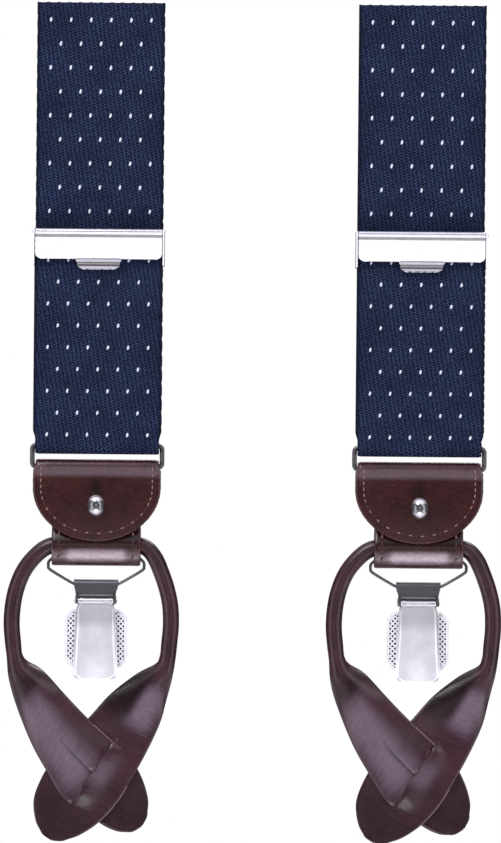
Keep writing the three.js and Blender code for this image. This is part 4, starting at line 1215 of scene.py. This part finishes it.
# ---- operators ----
def on_both(*makers):
    for side in SIDES:
        for maker in makers:
            maker(side)


class SUSPENDERS_OT_webbing(bpy.types.Operator):
    """Makes both tapes, folded through their rings"""
    bl_idname = "suspenders.webbing"
    bl_label = "Webbing"

    def execute(self, context):
        on_both(webbing)
        return {"FINISHED"}


class SUSPENDERS_OT_hardware(bpy.types.Operator):
    """Makes both adjusters' plates and rings"""
    bl_idname = "suspenders.hardware"
    bl_label = "Adjusters and rings"

    def execute(self, context):
        on_both(adjuster_plate, wire_ring)
        return {"FINISHED"}


class SUSPENDERS_OT_tabs(bpy.types.Operator):
    """Makes both studded tabs and the strips below them"""
    bl_idname = "suspenders.tabs"
    bl_label = "Tabs and strips"

    def execute(self, context):
        on_both(tab, hanger_strip)
        return {"FINISHED"}


class SUSPENDERS_OT_loops(bpy.types.Operator):
    """Makes both rolled leather button loops"""
    bl_idname = "suspenders.loops"
    bl_label = "Button loops"

    def execute(self, context):
        on_both(button_loop)
        return {"FINISHED"}


class SUSPENDERS_OT_clips(bpy.types.Operator):
    """Makes both clips and the wires they hang on"""
    bl_idname = "suspenders.clips"
    bl_label = "Clips"

    def execute(self, context):
        on_both(wire_bail, clip_cover, clip_body, grip_plate)
        return {"FINISHED"}


class SUSPENDERS_OT_finishes(bpy.types.Operator):
    """Gives every remaining frame piece its material"""
    bl_idname = "suspenders.finishes"
    bl_label = "Finishes"

    def execute(self, context):
        kinds = {"adjuster_frame": "nickel", "adjuster_hinge_pin": "nickel", "stud_base": "nickel",
                 "clip_hinge_pin": "nickel", "clip_inner_jaw": "nickel", "clip_spring": "dark_steel",
                 "clip_jaw_pad": "rubber"}
        for side in SIDES:
            for node, name in kinds.items():
                made = bpy.data.objects[f"{side}_{node}"]
                made.data.materials.clear()
                made.data.materials.append(finish(name))
        return {"FINISHED"}


class SUSPENDERS_OT_stage(bpy.types.Operator):
    """Sets the floor, lights and camera"""
    bl_idname = "suspenders.stage"
    bl_label = "Stage"

    def execute(self, context):
        build_stage()
        return {"FINISHED"}


OPERATORS = (SUSPENDERS_OT_webbing, SUSPENDERS_OT_hardware, SUSPENDERS_OT_tabs, SUSPENDERS_OT_loops,
             SUSPENDERS_OT_clips, SUSPENDERS_OT_finishes, SUSPENDERS_OT_stage)


class SUSPENDERS_PT_panel(bpy.types.Panel):
    """The settings, and a button for each step"""
    bl_label = "Suspenders"
    bl_idname = "SUSPENDERS_PT_panel"
    bl_space_type = "VIEW_3D"
    bl_region_type = "UI"
    bl_category = "Suspenders"

    def draw(self, context):
        for name in ("tape_settings", "leather_settings", "metal_settings"):
            box = self.layout.box()
            settings = getattr(context.scene, name)
            for key in settings.__annotations__:
                box.prop(settings, key)
        for kind in OPERATORS:
            self.layout.operator(kind.bl_idname)


CLASSES = (TapeSettings, LeatherSettings, MetalSettings, *OPERATORS, SUSPENDERS_PT_panel)


def register():
    for kind in CLASSES:
        bpy.utils.register_class(kind)
    bpy.types.Scene.tape_settings = PointerProperty(type=TapeSettings)
    bpy.types.Scene.leather_settings = PointerProperty(type=LeatherSettings)
    bpy.types.Scene.metal_settings = PointerProperty(type=MetalSettings)


def unregister():
    for name in ("tape_settings", "leather_settings", "metal_settings"):
        delattr(bpy.types.Scene, name)
    for kind in reversed(CLASSES):
        bpy.utils.unregister_class(kind)


def main():
    """Registers and runs each step in order."""
    register()
    for step in ("webbing", "hardware", "tabs", "loops", "clips", "finishes", "stage"):
        getattr(bpy.ops.suspenders, step)()


if __name__ == "__main__":
    main()
